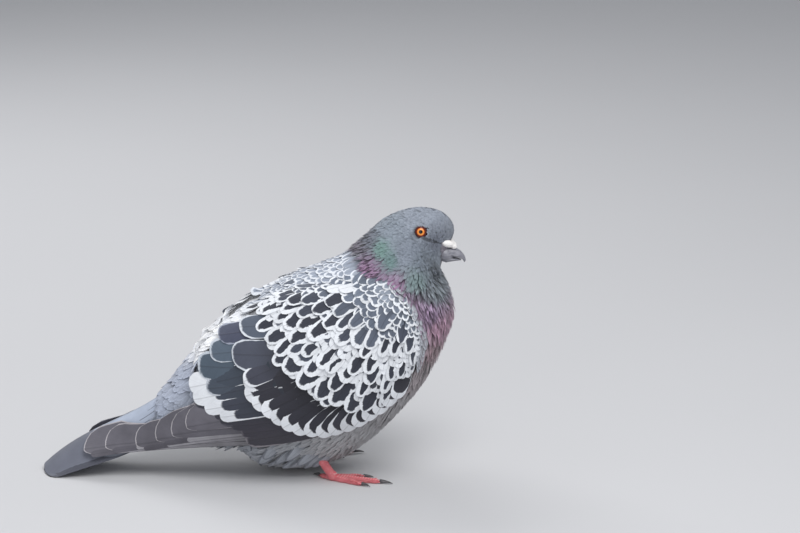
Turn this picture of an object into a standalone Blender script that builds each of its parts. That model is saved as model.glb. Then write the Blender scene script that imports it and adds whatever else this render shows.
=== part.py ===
"""A feral pigeon as a still museum model, squatting low with its tail tip on the floor.

The tables are in millimetres and the meshes in metres. +X is forwards, +Y is the bird's left
and +Z is up. The feathered body is one run of rings from the tail coverts, over the trunk and
the neck, to the foot of the bill, parted by thin cuts. The folded wings are shells that follow
the same rings, a little further out.
"""
import math

import bmesh
import bpy
from mathutils import Matrix, Vector
from mathutils.bvhtree import BVHTree

MM = 0.001
CUT = 0.3            # gap between neighbouring pieces
BODY_SIDES = 24
RINGS_PER_ROW = 2

# Body rings: back x, back z, belly x, belly z, half width, height of the widest place as a
# share of the ring, and how much the ring narrows towards the back.
BODY_RINGS = (
    (-64.0, 50.0, -62.0, 20.0, 20.0, 0.50, 0.00),
    (-54.5, 60.5, -50.0, 16.5, 24.0, 0.50, 0.00),
    (-43.0, 76.0, -34.0, 15.5, 29.5, 0.50, 0.00),
    (-27.0, 91.0, -18.0, 16.0, 35.0, 0.50, 0.00),
    (-10.5, 105.0, -6.0, 15.0, 39.0, 0.51, 0.00),
    (2.0, 115.0, 1.0, 5.0, 41.5, 0.53, 0.00),
    (15.5, 124.6, 16.0, 2.0, 44.0, 0.54, 0.00),
    (31.5, 132.6, 34.0, 1.8, 46.0, 0.55, 0.00),
    (46.0, 138.0, 53.0, 7.4, 47.0, 0.56, 0.05),
    (56.0, 142.6, 73.5, 21.4, 46.5, 0.55, 0.12),
    (63.0, 149.0, 92.0, 40.2, 45.5, 0.53, 0.20),
    (69.5, 154.7, 108.6, 61.6, 43.0, 0.50, 0.25),
    (75.0, 160.2, 120.0, 85.4, 38.0, 0.47, 0.24),
    (80.5, 164.8, 126.2, 105.5, 31.0, 0.46, 0.18),
    (86.5, 168.0, 121.5, 122.5, 24.0, 0.47, 0.10),
    (93.5, 170.8, 116.6, 131.0, 18.6, 0.50, 0.05),
    (101.5, 172.3, 116.3, 133.2, 15.9, 0.52, 0.00),
    (109.5, 172.0, 116.8, 134.2, 14.4, 0.54, 0.00),
    (117.3, 169.8, 117.4, 134.8, 12.6, 0.55, 0.00),
    (123.0, 164.9, 118.0, 135.2, 10.5, 0.54, 0.00),
    (125.6, 158.6, 118.5, 135.6, 8.0, 0.50, 0.00),
    (123.6, 152.6, 118.9, 136.0, 6.0, 0.46, 0.00),
)
TRUNK_END = 11
NECK_END = 14
HEAD_END = len(BODY_RINGS) - 1

# Bill pieces, in the same form as the body rings.
BILL_UPPER_RINGS = (
    (122.4, 147.2, 120.9, 141.5, 4.9, 0.30, 0.0),
    (125.6, 146.6, 124.0, 140.8, 4.2, 0.30, 0.0),
    (128.4, 145.3, 127.0, 140.2, 3.5, 0.30, 0.0),
    (130.6, 143.3, 129.4, 139.5, 2.8, 0.35, 0.0),
    (132.2, 140.8, 131.0, 138.2, 1.9, 0.40, 0.0),
    (132.8, 138.3, 131.9, 136.8, 0.8, 0.50, 0.0),
)
BILL_LOWER_RINGS = (
    (120.8, 140.9, 119.6, 136.6, 4.5, 0.75, 0.0),
    (123.8, 140.3, 123.2, 137.3, 3.7, 0.75, 0.0),
    (127.0, 139.7, 126.8, 137.9, 2.7, 0.70, 0.0),
    (129.9, 138.9, 129.8, 138.2, 1.3, 0.50, 0.0),
)
CERE_RINGS = (
    (123.6, 151.0, 122.7, 147.6, 3.4, 0.35, 0.0),
    (124.3, 151.2, 123.6, 147.5, 4.9, 0.35, 0.0),
    (126.0, 149.8, 125.2, 147.1, 4.3, 0.35, 0.0),
    (127.4, 148.0, 126.8, 146.5, 2.6, 0.40, 0.0),
)

EYE_CENTRE = (104.2, 9.3, 160.4)
EYE_RADIUS = 5.3
EYE_SIDES = 16

# Wing shells over the body rings: ring number, lower edge and upper edge as shares of the ring
# from belly to back.
WING_ROWS = (
    (2.05, 0.66, 0.82),
    (2.35, 0.53, 0.95),
    (3.0, 0.37, 0.985),
    (3.6, 0.27, 0.99),
    (4.2, 0.21, 0.988),
    (5.0, 0.19, 0.982),
    (6.0, 0.225, 0.97),
    (7.0, 0.25, 0.95),
    (8.0, 0.25, 0.92),
    (9.0, 0.205, 0.88),
    (10.0, 0.155, 0.82),
    (10.7, 0.155, 0.755),
    (11.3, 0.20, 0.68),
    (11.8, 0.27, 0.58),
    (12.1, 0.35, 0.49),
)
WING_COLUMNS = 26
WING_BANDS = 9
WING_CLEARANCE = 1.0
WING_THICKNESS = 5.2
WING_EDGE = 1.5
FLIGHT_ROOM = 3.2    # room left under the rear of the wing for the flight feathers
FLIGHT_ROOM_END = 5.5

# Folded primaries beside the tail: x, upper edge z and lower edge z.
PRIMARY_ROWS = (
    (-8.0, 44.0, 30.5),
    (-24.0, 51.0, 22.2),
    (-38.0, 55.5, 18.2),
    (-51.7, 50.5, 15.8),
    (-64.0, 42.5, 14.4),
    (-77.0, 33.8, 13.4),
    (-90.0, 27.8, 12.6),
    (-100.5, 22.8, 12.3),
    (-108.0, 19.0, 12.6),
    (-112.5, 16.0, 13.8),
)
PRIMARY_COLUMNS = 18
PRIMARY_BANDS = 5
PRIMARY_CLEARANCE = 1.2
PROBES = ((-3.5, 0.0), (0.0, 0.0), (3.5, 0.0), (0.0, 3.0))  # steps in x and z, to clear every bulge
PRIMARY_THICKNESS = 1.8
PRIMARY_EDGE = 0.8

# Tail: x, ridge z, edge z, half width and thickness.
TAIL_ROWS = (
    (-65.0, 46.6, 22.0, 18.2, 4.0),
    (-76.0, 40.6, 15.5, 19.6, 4.0),
    (-88.0, 34.4, 9.8, 21.2, 3.8),
    (-97.0, 29.6, 6.6, 21.6, 3.6),
    (-107.0, 24.4, 5.2, 21.0, 3.6),
    (-116.0, 19.4, 4.6, 19.0, 4.6),
    (-124.0, 14.2, 3.8, 15.6, 7.0),
    (-130.0, 9.6, 2.6, 11.6, 9.0),
    (-134.5, 5.4, 1.4, 7.4, 6.0),
    (-137.2, 2.0, 0.9, 3.4, 2.2),
)
TAIL_COLUMNS = 16
TAIL_BANDS = 10
TAIL_ARCH = 1.7      # exponent of the arch across the tail
TAIL_EDGE = 1.2

# Feet: side (+1 left), centre of the foot and turn outwards in degrees.
FEET = (
    ("left", 1, (29.0, 22.5), 12.0),
    ("right", -1, (48.0, -23.0), 13.0),
)
# Toes: direction from the middle toe in degrees, length, claw length, root and tip radius.
TOES = {
    "inner": (-21.0, 20.0, 6.5, 2.5, 1.7),
    "middle": (0.0, 31.0, 8.5, 2.7, 1.8),
    "outer": (18.0, 22.0, 6.5, 2.5, 1.6),
    "hind": (205.0, 9.5, 5.5, 2.3, 1.6),
}
TOE_SIDES = 8
TOE_PADS = 7.0       # spacing of the pads along a toe
PAD_RINGS = 2.4
TOE_LEVEL = 0.69     # height of a toe's middle in radii, low enough to leave flats under it
BALL_RADIUS = 3.5
SHANK_RADIUS = 2.9
SHANK_TOP = (-15.0, 3.0, 22.0)  # from the centre of the foot, the second value towards the midline

FINISHES = {
    "head_plumage": ((0.27, 0.30, 0.36), 0.75),
    "neck_plumage": ((0.20, 0.27, 0.27), 0.45),
    "body_plumage": ((0.30, 0.30, 0.33), 0.80),
    "wing_plumage": ((0.20, 0.21, 0.25), 0.75),
    "flight_plumage": ((0.14, 0.13, 0.15), 0.70),
    "tail_plumage": ((0.20, 0.21, 0.25), 0.75),
    "bill_horn": ((0.13, 0.13, 0.15), 0.45),
    "cere_skin": ((0.85, 0.82, 0.77), 0.70),
    "eye": ((0.75, 0.22, 0.03), 0.10),
    "leg_skin": ((0.60, 0.10, 0.13), 0.55),
    "claw_horn": ((0.06, 0.06, 0.07), 0.40),
}


def material(name):
    """The named finish, made once."""
    found = bpy.data.materials.get(name)
    if found:
        return found
    colour, roughness = FINISHES[name]
    made = bpy.data.materials.new(name)
    made.use_nodes = True
    shader = made.node_tree.nodes["Principled BSDF"]
    shader.inputs["Base Color"].default_value = (*colour, 1.0)
    shader.inputs["Roughness"].default_value = roughness
    shader.inputs["Metallic"].default_value = 0.0
    return made


def add_object(name, builder, finish):
    """An object from a bmesh, with outward faces and smooth shading."""
    bmesh.ops.recalc_face_normals(builder, faces=builder.faces)
    mesh = bpy.data.meshes.new(name)
    builder.to_mesh(mesh)
    builder.free()
    mesh.shade_smooth()
    mesh.set_sharp_from_angle(angle=math.radians(50))
    made = bpy.data.objects.new(name, mesh)
    bpy.context.scene.collection.objects.link(made)
    made.data.materials.append(material(finish))
    return made


def blend(rows, place):
    """A smooth value between the rows of a table, with place counted in rows."""
    last = len(rows) - 1
    row = min(int(place), last - 1)
    u = place - row
    near = [rows[min(max(row + step, 0), last)] for step in (-1, 0, 1, 2)]
    weights = (
        (-u ** 3 + 2 * u ** 2 - u) / 2,
        (3 * u ** 3 - 5 * u ** 2 + 2) / 2,
        (-3 * u ** 3 + 4 * u ** 2 + u) / 2,
        (u ** 3 - u ** 2) / 2,
    )
    return [sum(w * r[column] for w, r in zip(weights, near)) for column in range(len(rows[0]))]


def blend_by_first(rows, value):
    """The other columns of a table at a value of its first column."""
    rising = rows[-1][0] > rows[0][0]
    for row in range(len(rows) - 1):
        start, end = rows[row][0], rows[row + 1][0]
        if (value <= end) if rising else (value >= end):
            break
    share = (value - start) / (end - start)
    return blend(rows, row + min(max(share, 0.0), 1.0))[1:]


def ring_point(rows, place, angle, grow=0.0):
    """A point on a ring, with the angle from the back towards the bird's left."""
    back_x, back_z, belly_x, belly_z, half, wide, pinch = blend(rows, place)
    back = Vector((back_x, 0, back_z))
    belly = Vector((belly_x, 0, belly_z))
    outwards = (back - belly).normalized() * grow
    back += outwards
    belly -= outwards
    middle = belly.lerp(back, wide)
    up, side = math.cos(angle), math.sin(angle)
    if up >= 0:
        point = middle.lerp(back, up)
        side *= 1 - pinch * up * up
    else:
        point = middle.lerp(belly, -up)
    point.y = (half + grow) * side
    return point


def ring_forwards(rows, place):
    """The direction square to a ring, towards the bill."""
    back_x, back_z, belly_x, belly_z = blend(rows, place)[:4]
    return Vector((back_z - belly_z, 0, belly_x - back_x)).normalized()


def ring_angle(rows, place, share):
    """The angle of a height on a ring, given as a share from belly to back."""
    wide = blend(rows, place)[5]
    span = (1 - wide) if share >= wide else wide
    return math.acos(min(max((share - wide) / span, -1.0), 1.0))


def loft(rings):
    """A closed bmesh through rings of points in millimetres."""
    builder = bmesh.new()
    loops = [[builder.verts.new(point * MM) for point in ring] for ring in rings]
    count = len(loops[0])
    for lower, upper in zip(loops, loops[1:]):
        for k in range(count):
            after = (k + 1) % count
            builder.faces.new((lower[k], lower[after], upper[after], upper[k]))
    for loop in (loops[0], loops[-1]):
        builder.faces.new(loop)
    return builder


def ring_run(rows, start, end, steps, sides, first_shift=0.0, grow=0.0):
    """The rings from one place to another, with the first shifted forwards to leave a cut."""
    rings = []
    for step in range(steps + 1):
        place = start + (end - start) * step / steps
        ring = [ring_point(rows, place, math.tau * k / sides, grow) for k in range(sides)]
        if step == 0 and first_shift:
            shift = ring_forwards(rows, place) * first_shift
            ring = [point + shift for point in ring]
        rings.append(ring)
    return rings


def combined(target, other, operation):
    """Bakes a Boolean of one object with another, which is then removed."""
    modifier = target.modifiers.new(operation.lower(), "BOOLEAN")
    modifier.operation = operation
    modifier.object = other
    modifier.solver = "EXACT"
    graph = bpy.context.evaluated_depsgraph_get()
    baked = bpy.data.meshes.new_from_object(target.evaluated_get(graph), depsgraph=graph)
    target.modifiers.clear()
    target.data = baked
    bpy.data.objects.remove(other)
    return target


def ball(centre, radius, sides):
    """A closed round bmesh, with its poles to the left and right."""
    builder = bmesh.new()
    turn = Matrix.Rotation(math.pi / 2, 4, "X")
    bmesh.ops.create_uvsphere(builder, u_segments=sides, v_segments=sides // 2, radius=radius * MM, matrix=turn)
    bmesh.ops.translate(builder, verts=builder.verts, vec=Vector(centre) * MM)
    return builder


def body():
    """Trunk, neck and head, with thin cuts square to the rings between them."""
    parts = (
        ("trunk", 0, TRUNK_END, 0.0, "body_plumage"),
        ("neck", TRUNK_END, NECK_END, CUT, "neck_plumage"),
        ("head", NECK_END, HEAD_END, CUT, "head_plumage"),
    )
    for name, start, end, shift, finish in parts:
        steps = (end - start) * RINGS_PER_ROW
        add_object(name, loft(ring_run(BODY_RINGS, start, end, steps, BODY_SIDES, shift)), finish)


def eyes():
    """Round eyes, sunk in sockets cut into the head."""
    head = bpy.data.objects["head"]
    for name, side in (("left", 1), ("right", -1)):
        centre = (EYE_CENTRE[0], EYE_CENTRE[1] * side, EYE_CENTRE[2])
        socket = add_object("socket", ball(centre, EYE_RADIUS + CUT, EYE_SIDES), "head_plumage")
        combined(head, socket, "DIFFERENCE")
        add_object("eye_" + name, ball(centre, EYE_RADIUS, EYE_SIDES), "eye")


def bill():
    """Upper and lower halves of the bill and the bare cere over their root."""
    parts = (
        ("bill_upper", BILL_UPPER_RINGS, 10, "bill_horn"),
        ("bill_lower", BILL_LOWER_RINGS, 6, "bill_horn"),
        ("cere", CERE_RINGS, 8, "cere_skin"),
    )
    for name, rows, steps, finish in parts:
        add_object(name, loft(ring_run(rows, 0, len(rows) - 1, steps, 12)), finish)


def shell(outer, inner):
    """A closed bmesh between two grids of points of the same shape."""
    builder = bmesh.new()
    sheets = [[[builder.verts.new(point * MM) for point in row] for row in grid] for grid in (outer, inner)]
    for sheet in sheets:
        for row, after in zip(sheet, sheet[1:]):
            for k in range(len(row) - 1):
                builder.faces.new((row[k], row[k + 1], after[k + 1], after[k]))
    rims = []
    for sheet in sheets:
        rim = list(sheet[0])
        rim += [row[-1] for row in sheet[1:]]
        rim += reversed(sheet[-1][:-1])
        rim += [row[0] for row in reversed(sheet[1:-1])]
        rims.append(rim)
    count = len(rims[0])
    for k in range(count):
        after = (k + 1) % count
        builder.faces.new((rims[0][k], rims[0][after], rims[1][after], rims[1][k]))
    return builder


def swell(share, power):
    """Nought at both ends of the range and one in its middle."""
    return 1 - abs(2 * share - 1) ** power


def wing(name, side):
    """A folded wing: coverts, scapulars, tertials and secondaries as one curved shell."""
    outer, inner = [], []
    for column in range(WING_COLUMNS + 1):
        along = column / WING_COLUMNS
        place = WING_ROWS[0][0] + (WING_ROWS[-1][0] - WING_ROWS[0][0]) * along
        low, high = blend_by_first(WING_ROWS, place)
        room = FLIGHT_ROOM * min(max(FLIGHT_ROOM_END - place, 0.0), 1.0)
        outer_row, inner_row = [], []
        for band in range(WING_BANDS + 1):
            across = band / WING_BANDS
            start = ring_angle(BODY_RINGS, place, low)
            end = ring_angle(BODY_RINGS, place, high)
            angle = (start + (end - start) * across) * side
            under = WING_CLEARANCE + room
            swollen = swell(across, 4) * swell(along, 6)
            over = under + WING_EDGE + (WING_THICKNESS - WING_EDGE - room) * swollen
            outer_row.append(ring_point(BODY_RINGS, place, angle, over))
            inner_row.append(ring_point(BODY_RINGS, place, angle, under))
        outer.append(outer_row)
        inner.append(inner_row)
    return add_object(name, shell(outer, inner), "wing_plumage")


def tail():
    """The closed tail: an arched slab whose underside meets the floor on a flat at its tip."""
    rings = []
    for column in range(TAIL_COLUMNS + 1):
        x = TAIL_ROWS[0][0] + (TAIL_ROWS[-1][0] - TAIL_ROWS[0][0]) * column / TAIL_COLUMNS
        ridge, edge, half, thickness = blend_by_first(TAIL_ROWS, x)
        over, under = [], []
        for band in range(TAIL_BANDS + 1):
            across = math.sin(math.pi * (band / TAIL_BANDS - 0.5))
            arch = 1 - abs(across) ** TAIL_ARCH
            top = edge + (ridge - edge) * arch
            depth = TAIL_EDGE + (thickness - TAIL_EDGE) * arch
            over.append(Vector((x, half * across, top)))
            under.append(Vector((x, half * across, max(top - depth, 0.0))))
        rings.append(over + under[::-1])
    return add_object("tail", loft(rings), "tail_plumage")


def surface_under(objects):
    """A search tree over the outside of the given objects."""
    points, faces = [], []
    for item in objects:
        first = len(points)
        points += [item.matrix_world @ vertex.co for vertex in item.data.vertices]
        faces += [[first + k for k in face.vertices] for face in item.data.polygons]
    return BVHTree.FromPolygons(points, faces)


def primaries(name, side, tree):
    """The folded primaries, lying against the trunk and the side of the tail."""
    depths = []
    for column in range(PRIMARY_COLUMNS + 1):
        share = column / PRIMARY_COLUMNS
        x = PRIMARY_ROWS[0][0] + (PRIMARY_ROWS[-1][0] - PRIMARY_ROWS[0][0]) * share
        high, low = blend_by_first(PRIMARY_ROWS, x)
        tail_edge = blend_by_first(TAIL_ROWS, min(x, TAIL_ROWS[0][0]))[1]
        row = []
        for band in range(PRIMARY_BANDS + 1):
            z = low + (high - low) * band / PRIMARY_BANDS
            height = max(z, tail_edge + TAIL_EDGE)
            starts = [Vector((x + ahead, side * 100, height + above)) * MM for ahead, above in PROBES]
            hits = [tree.ray_cast(start, Vector((0, -side, 0)))[0] for start in starts]
            row.append((x, max(abs(hit.y) / MM for hit in hits if hit), z))
        depths.append(row)
    outer, inner = [], []
    for column, row in enumerate(depths):
        along = column / PRIMARY_COLUMNS
        outer_row, inner_row = [], []
        for band, (x, depth, z) in enumerate(row):
            near = [depths[c][b][1]
                    for c in range(max(column - 1, 0), min(column + 2, PRIMARY_COLUMNS + 1))
                    for b in range(max(band - 1, 0), min(band + 2, PRIMARY_BANDS + 1))]
            under = max(depth, sum(near) / len(near)) + PRIMARY_CLEARANCE
            swollen = swell(band / PRIMARY_BANDS, 4) * (1 - along ** 6)
            over = under + PRIMARY_EDGE + (PRIMARY_THICKNESS - PRIMARY_EDGE) * swollen
            outer_row.append(Vector((x, side * over, z)))
            inner_row.append(Vector((x, side * under, z)))
        outer.append(outer_row)
        inner.append(inner_row)
    return add_object(name, shell(outer, inner), "flight_plumage")


def toe_rings(root, heading, length, thick, thin):
    """Rings along a toe, swollen at its pads and flat where it meets the floor."""
    rings = []
    steps = max(round(length / TOE_PADS * PAD_RINGS), 4)
    aside = Vector((-heading.y, heading.x, 0))
    for step in range(steps + 1):
        share = step / steps
        along = length * share
        radius = thick + (thin - thick) * share
        radius *= 1 + 0.10 * math.cos(math.tau * along / TOE_PADS)
        if step == steps:
            radius *= 0.6
        centre = root + heading * along
        height = (thick + (thin - thick) * share) * TOE_LEVEL
        ring = []
        for k in range(TOE_SIDES):
            angle = math.tau * k / TOE_SIDES
            point = centre + aside * radius * math.cos(angle)
            point.z = max(height + radius * math.sin(angle), 0.0)
            ring.append(point)
        rings.append(ring)
    return rings


def claw_rings(root, heading, length, radius):
    """Rings along a claw that curves down to just above the floor."""
    rings = []
    aside = Vector((-heading.y, heading.x, 0))
    for step in range(6):
        share = step / 5
        width = radius * (1 - 0.9 * share)
        centre = root + heading * length * math.sin(share * 1.3) / math.sin(1.3)
        height = 1.75 - 1.15 * share ** 1.8
        ring = []
        for k in range(TOE_SIDES):
            angle = math.tau * k / TOE_SIDES
            point = centre + aside * width * 0.8 * math.cos(angle)
            point.z = max(height + width * math.sin(angle), 0.35)
            ring.append(point)
        rings.append(ring)
    return rings


def shank_rings(centre, side):
    """Rings up the bare shank, from the foot into the belly feathers."""
    base = Vector((centre[0], centre[1], BALL_RADIUS))
    top = base + Vector((SHANK_TOP[0], -side * SHANK_TOP[1], SHANK_TOP[2]))
    run = (top - base).normalized()
    aside = Vector((0, 1, 0))
    ahead = run.cross(aside).normalized()
    rings = []
    for step in range(4):
        middle = base.lerp(top, step / 3)
        ring = [middle + (ahead * math.cos(math.tau * k / 10) + aside * math.sin(math.tau * k / 10))
                * SHANK_RADIUS for k in range(10)]
        rings.append(ring)
    return rings


def leg(name, side, centre, turn):
    """A leg: bare shank and four toes as one body, with a separate claw on each toe."""
    foot = add_object("leg_" + name, loft(shank_rings(centre, side)), "leg_skin")
    combined(foot, add_object("ball", ball((*centre, BALL_RADIUS), BALL_RADIUS, 8), "leg_skin"), "UNION")
    for toe, (spread, length, claw, thick, thin) in TOES.items():
        angle = math.radians(turn + spread)
        heading = Vector((math.cos(angle), side * math.sin(angle), 0))
        root = Vector((*centre, 0))
        rings = toe_rings(root, heading, length, thick, thin)
        combined(foot, add_object("toe", loft(rings), "leg_skin"), "UNION")
        claw_root = root + heading * (length + CUT)
        add_object(f"claw_{name}_{toe}", loft(claw_rings(claw_root, heading, claw, thin * 0.8)), "claw_horn")
    steps = TRUNK_END * RINGS_PER_ROW
    cover = ring_run(BODY_RINGS, 0, TRUNK_END, steps, BODY_SIDES, grow=CUT * 1.5)
    combined(foot, add_object("cover", loft(cover), "leg_skin"), "DIFFERENCE")
    return foot


def centre_on_origin():
    """Moves the bird so that the origin is under the middle of its box."""
    meshes = [item.data for item in bpy.data.objects]
    points = [vertex.co for mesh in meshes for vertex in mesh.vertices]
    middle = [(min(p[k] for p in points) + max(p[k] for p in points)) / 2 for k in (0, 1)]
    for mesh in meshes:
        mesh.transform(Matrix.Translation((-middle[0], -middle[1], 0)))


for leftover in list(bpy.data.objects):
    bpy.data.objects.remove(leftover)
body()
eyes()
bill()
tail()
side_surface = surface_under([bpy.data.objects["trunk"], bpy.data.objects["tail"]])
for side_name, side_sign in (("left", 1), ("right", -1)):
    wing("wing_" + side_name, side_sign)
    primaries("primaries_" + side_name, side_sign, side_surface)
for side_name, side_sign, foot_centre, foot_turn in FEET:
    leg(side_name, side_sign, foot_centre, foot_turn)
centre_on_origin()
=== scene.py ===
import math

import bmesh
import bpy
import numpy as np
from mathutils import Euler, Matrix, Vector
from mathutils.bvhtree import BVHTree
from mathutils.kdtree import KDTree


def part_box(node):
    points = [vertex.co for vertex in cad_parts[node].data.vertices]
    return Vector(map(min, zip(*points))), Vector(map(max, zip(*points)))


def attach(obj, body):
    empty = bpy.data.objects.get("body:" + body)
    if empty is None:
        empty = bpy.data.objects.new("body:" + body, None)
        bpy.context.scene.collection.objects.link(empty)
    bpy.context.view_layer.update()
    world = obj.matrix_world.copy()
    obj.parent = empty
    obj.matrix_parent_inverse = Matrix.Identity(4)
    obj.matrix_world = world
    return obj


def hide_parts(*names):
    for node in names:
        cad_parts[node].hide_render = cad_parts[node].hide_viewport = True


# A feral pigeon sitting low on its feet, life size, as a still model.
# +X is the way the bill points, +Y the bird's left, +Z up. Tables are in millimetres, and angles in degrees.

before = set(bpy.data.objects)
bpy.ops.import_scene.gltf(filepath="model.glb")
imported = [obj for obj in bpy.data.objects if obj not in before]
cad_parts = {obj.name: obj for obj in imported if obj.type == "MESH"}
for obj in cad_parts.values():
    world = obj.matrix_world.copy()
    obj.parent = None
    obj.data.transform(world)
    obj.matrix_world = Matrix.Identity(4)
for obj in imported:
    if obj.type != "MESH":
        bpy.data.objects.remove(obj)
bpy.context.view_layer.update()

MM = 0.001
WELD = 0.00001
SEED = 27
random = np.random.default_rng(SEED)

# The skin under the coat: how finely it is made, and how far its parts swell first, to close the gaps.
FLESH = ("head", "neck", "trunk", "wing_left", "wing_right", "tail")
SKIN_VOXEL = 1.3 * MM
SKIN_SWELL = 0.35 * MM
SKIN_SMOOTHING = 7
# How far in the skin lies, at most this share of a thin part.
HEAD_COAT = 0.9
BODY_COAT = 2.6
TAIL_COAT = 2.2
THIN_SHARE = 0.4
# Where the tail narrows, in x; and where the face does, in x, and less so above and below, in z.
TAIL_RANGE = (-60, -76)
TAIL_NARROWING = 0.62
FACE_RANGE = (105, 125)
FACE_NARROWING = 0.48
FOREHEAD_RANGE = (152, 168)
FOREHEAD_SHARE = 0.6
CHIN_RANGE = (140, 128)
FACE_SKIN = (132, 128, 136)
# The bare place of the bill: its least x, and its heights.
BILL_START = 119.6
BILL_HEIGHTS = (136.5, 151.5)

# Vanes: how sharply the surface may turn along and across one, rows along one, the share of its arch that
# the under side takes, its size on the baked map, and the least height above the floor.
BEND_LIMIT = 0.80
EDGE_BEND = 0.60
VANE_STEPS = 9
UNDER_ARCH = 0.35
PATCH = 0.003
FLOOR_GAP = 0.8 * MM
# Scattered places: tries for each, and how close they may come, as a share of the gap.
TRIES = 10
SPACING = 0.86

# How each kind of vane is built: segments across, along, and across its under side, its arch, its width
# at root and tip, and how round its tip is.
VANE_BUILDS = {
    "head": (2, 4, 2, 0.10, 0.45, 0.70, 0.9),
    "neck": (2, 6, 2, 0.22, 0.45, 0.30, 1.8),
    "body": (4, 6, 2, 0.35, 0.45, 0.75, 0.9),
    "mantle": (6, 6, 2, 0.30, 0.60, 0.90, 0.9),
    "covert": (6, 7, 2, 0.35, 0.60, 0.90, 0.9),
    "long": (8, 14, 8, 0.35, 0.70, 0.95, 0.9),
    "primary": (8, 22, 8, 0.30, 0.75, 0.80, 1.45),
    "tail": (8, 20, 8, 0.30, 0.70, 0.95, 0.75),
    "scute": (8, 2, 2, 0.15, 0.90, 0.90, 0.3),
}
# How each looks: how square its marking is, barbs, streaks, fray, roughness, sheen, metal, shaft, how far
# the marking wanders, mottling, and the painted shade at the root, where the feathers over it shade it.
VANE_LOOKS = {
    "head": (2.5, 16, 0.35, 0.5, 0.60, 0.20, 0.0, 0.10, 0.0, 0.0, 0.55),
    "neck": (2.5, 18, 0.70, 0.5, 0.45, 0.30, 0.12, 0.20, 0.0, 0.0, 0.55),
    "body": (2.5, 26, 0.35, 0.6, 0.70, 0.20, 0.0, 0.15, 0.0, 0.0, 0.55),
    "mantle": (3.2, 30, 0.30, 0.5, 0.65, 0.20, 0.0, 0.25, 0.5, 0.0, 0.55),
    "covert": (3.2, 34, 0.30, 0.5, 0.62, 0.15, 0.0, 0.25, 0.55, 0.0, 0.55),
    "long": (6, 70, 0.28, 0.35, 0.55, 0.10, 0.0, 0.25, 0.12, 0.12, 0.55),
    "primary": (40, 150, 0.30, 0.3, 0.55, 0.10, 0.0, 0.25, 0.0, 0.35, 0.55),
    "tail": (4, 130, 0.25, 0.25, 0.62, 0.15, 0.0, 0.25, 0.0, 0.25, 1.0),
}
SHAFT_COLOUR = (40, 38, 42)

# The eye: its middle, how far up it looks, its ball, the lids' opening and ring, and the room round it.
EYE_CENTRE = (106.4, 9.7, 159.0)
EYE_RISE = 14
EYE_RADIUS = 5.3
LID_OPENING = 2.85
LID_WIDTH = 0.5
LID_FLATNESS = 0.62
LID_LEAN = -34
LID_SHIFT = (0.42, -0.12)
LID_BARE = 3.6
LID_CLEAR = 3.05
# How far out the surface lies round an eye: gaps from the line of sight, and heights along it.
SOCKET_GAPS = (0, 2.8, 3.8, 4.8, 5.8, 6.8)
SOCKET_HEIGHTS = (4.4, 4.5, 5.1, 5.7, 6.4, 7.2)
# The dark line from the eye to the bill, as x, z, half its width, and its shade.
LORE = ((110.5, 156.1), (119.5, 151.6))
LORE_WIDTH = 0.7
LORE_SHADE = 0.38

WHITE_EDGE = (226, 229, 234)
SLATE = (88, 95, 109)
COAL = (68, 73, 86)
INK = (54, 57, 68)

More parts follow.
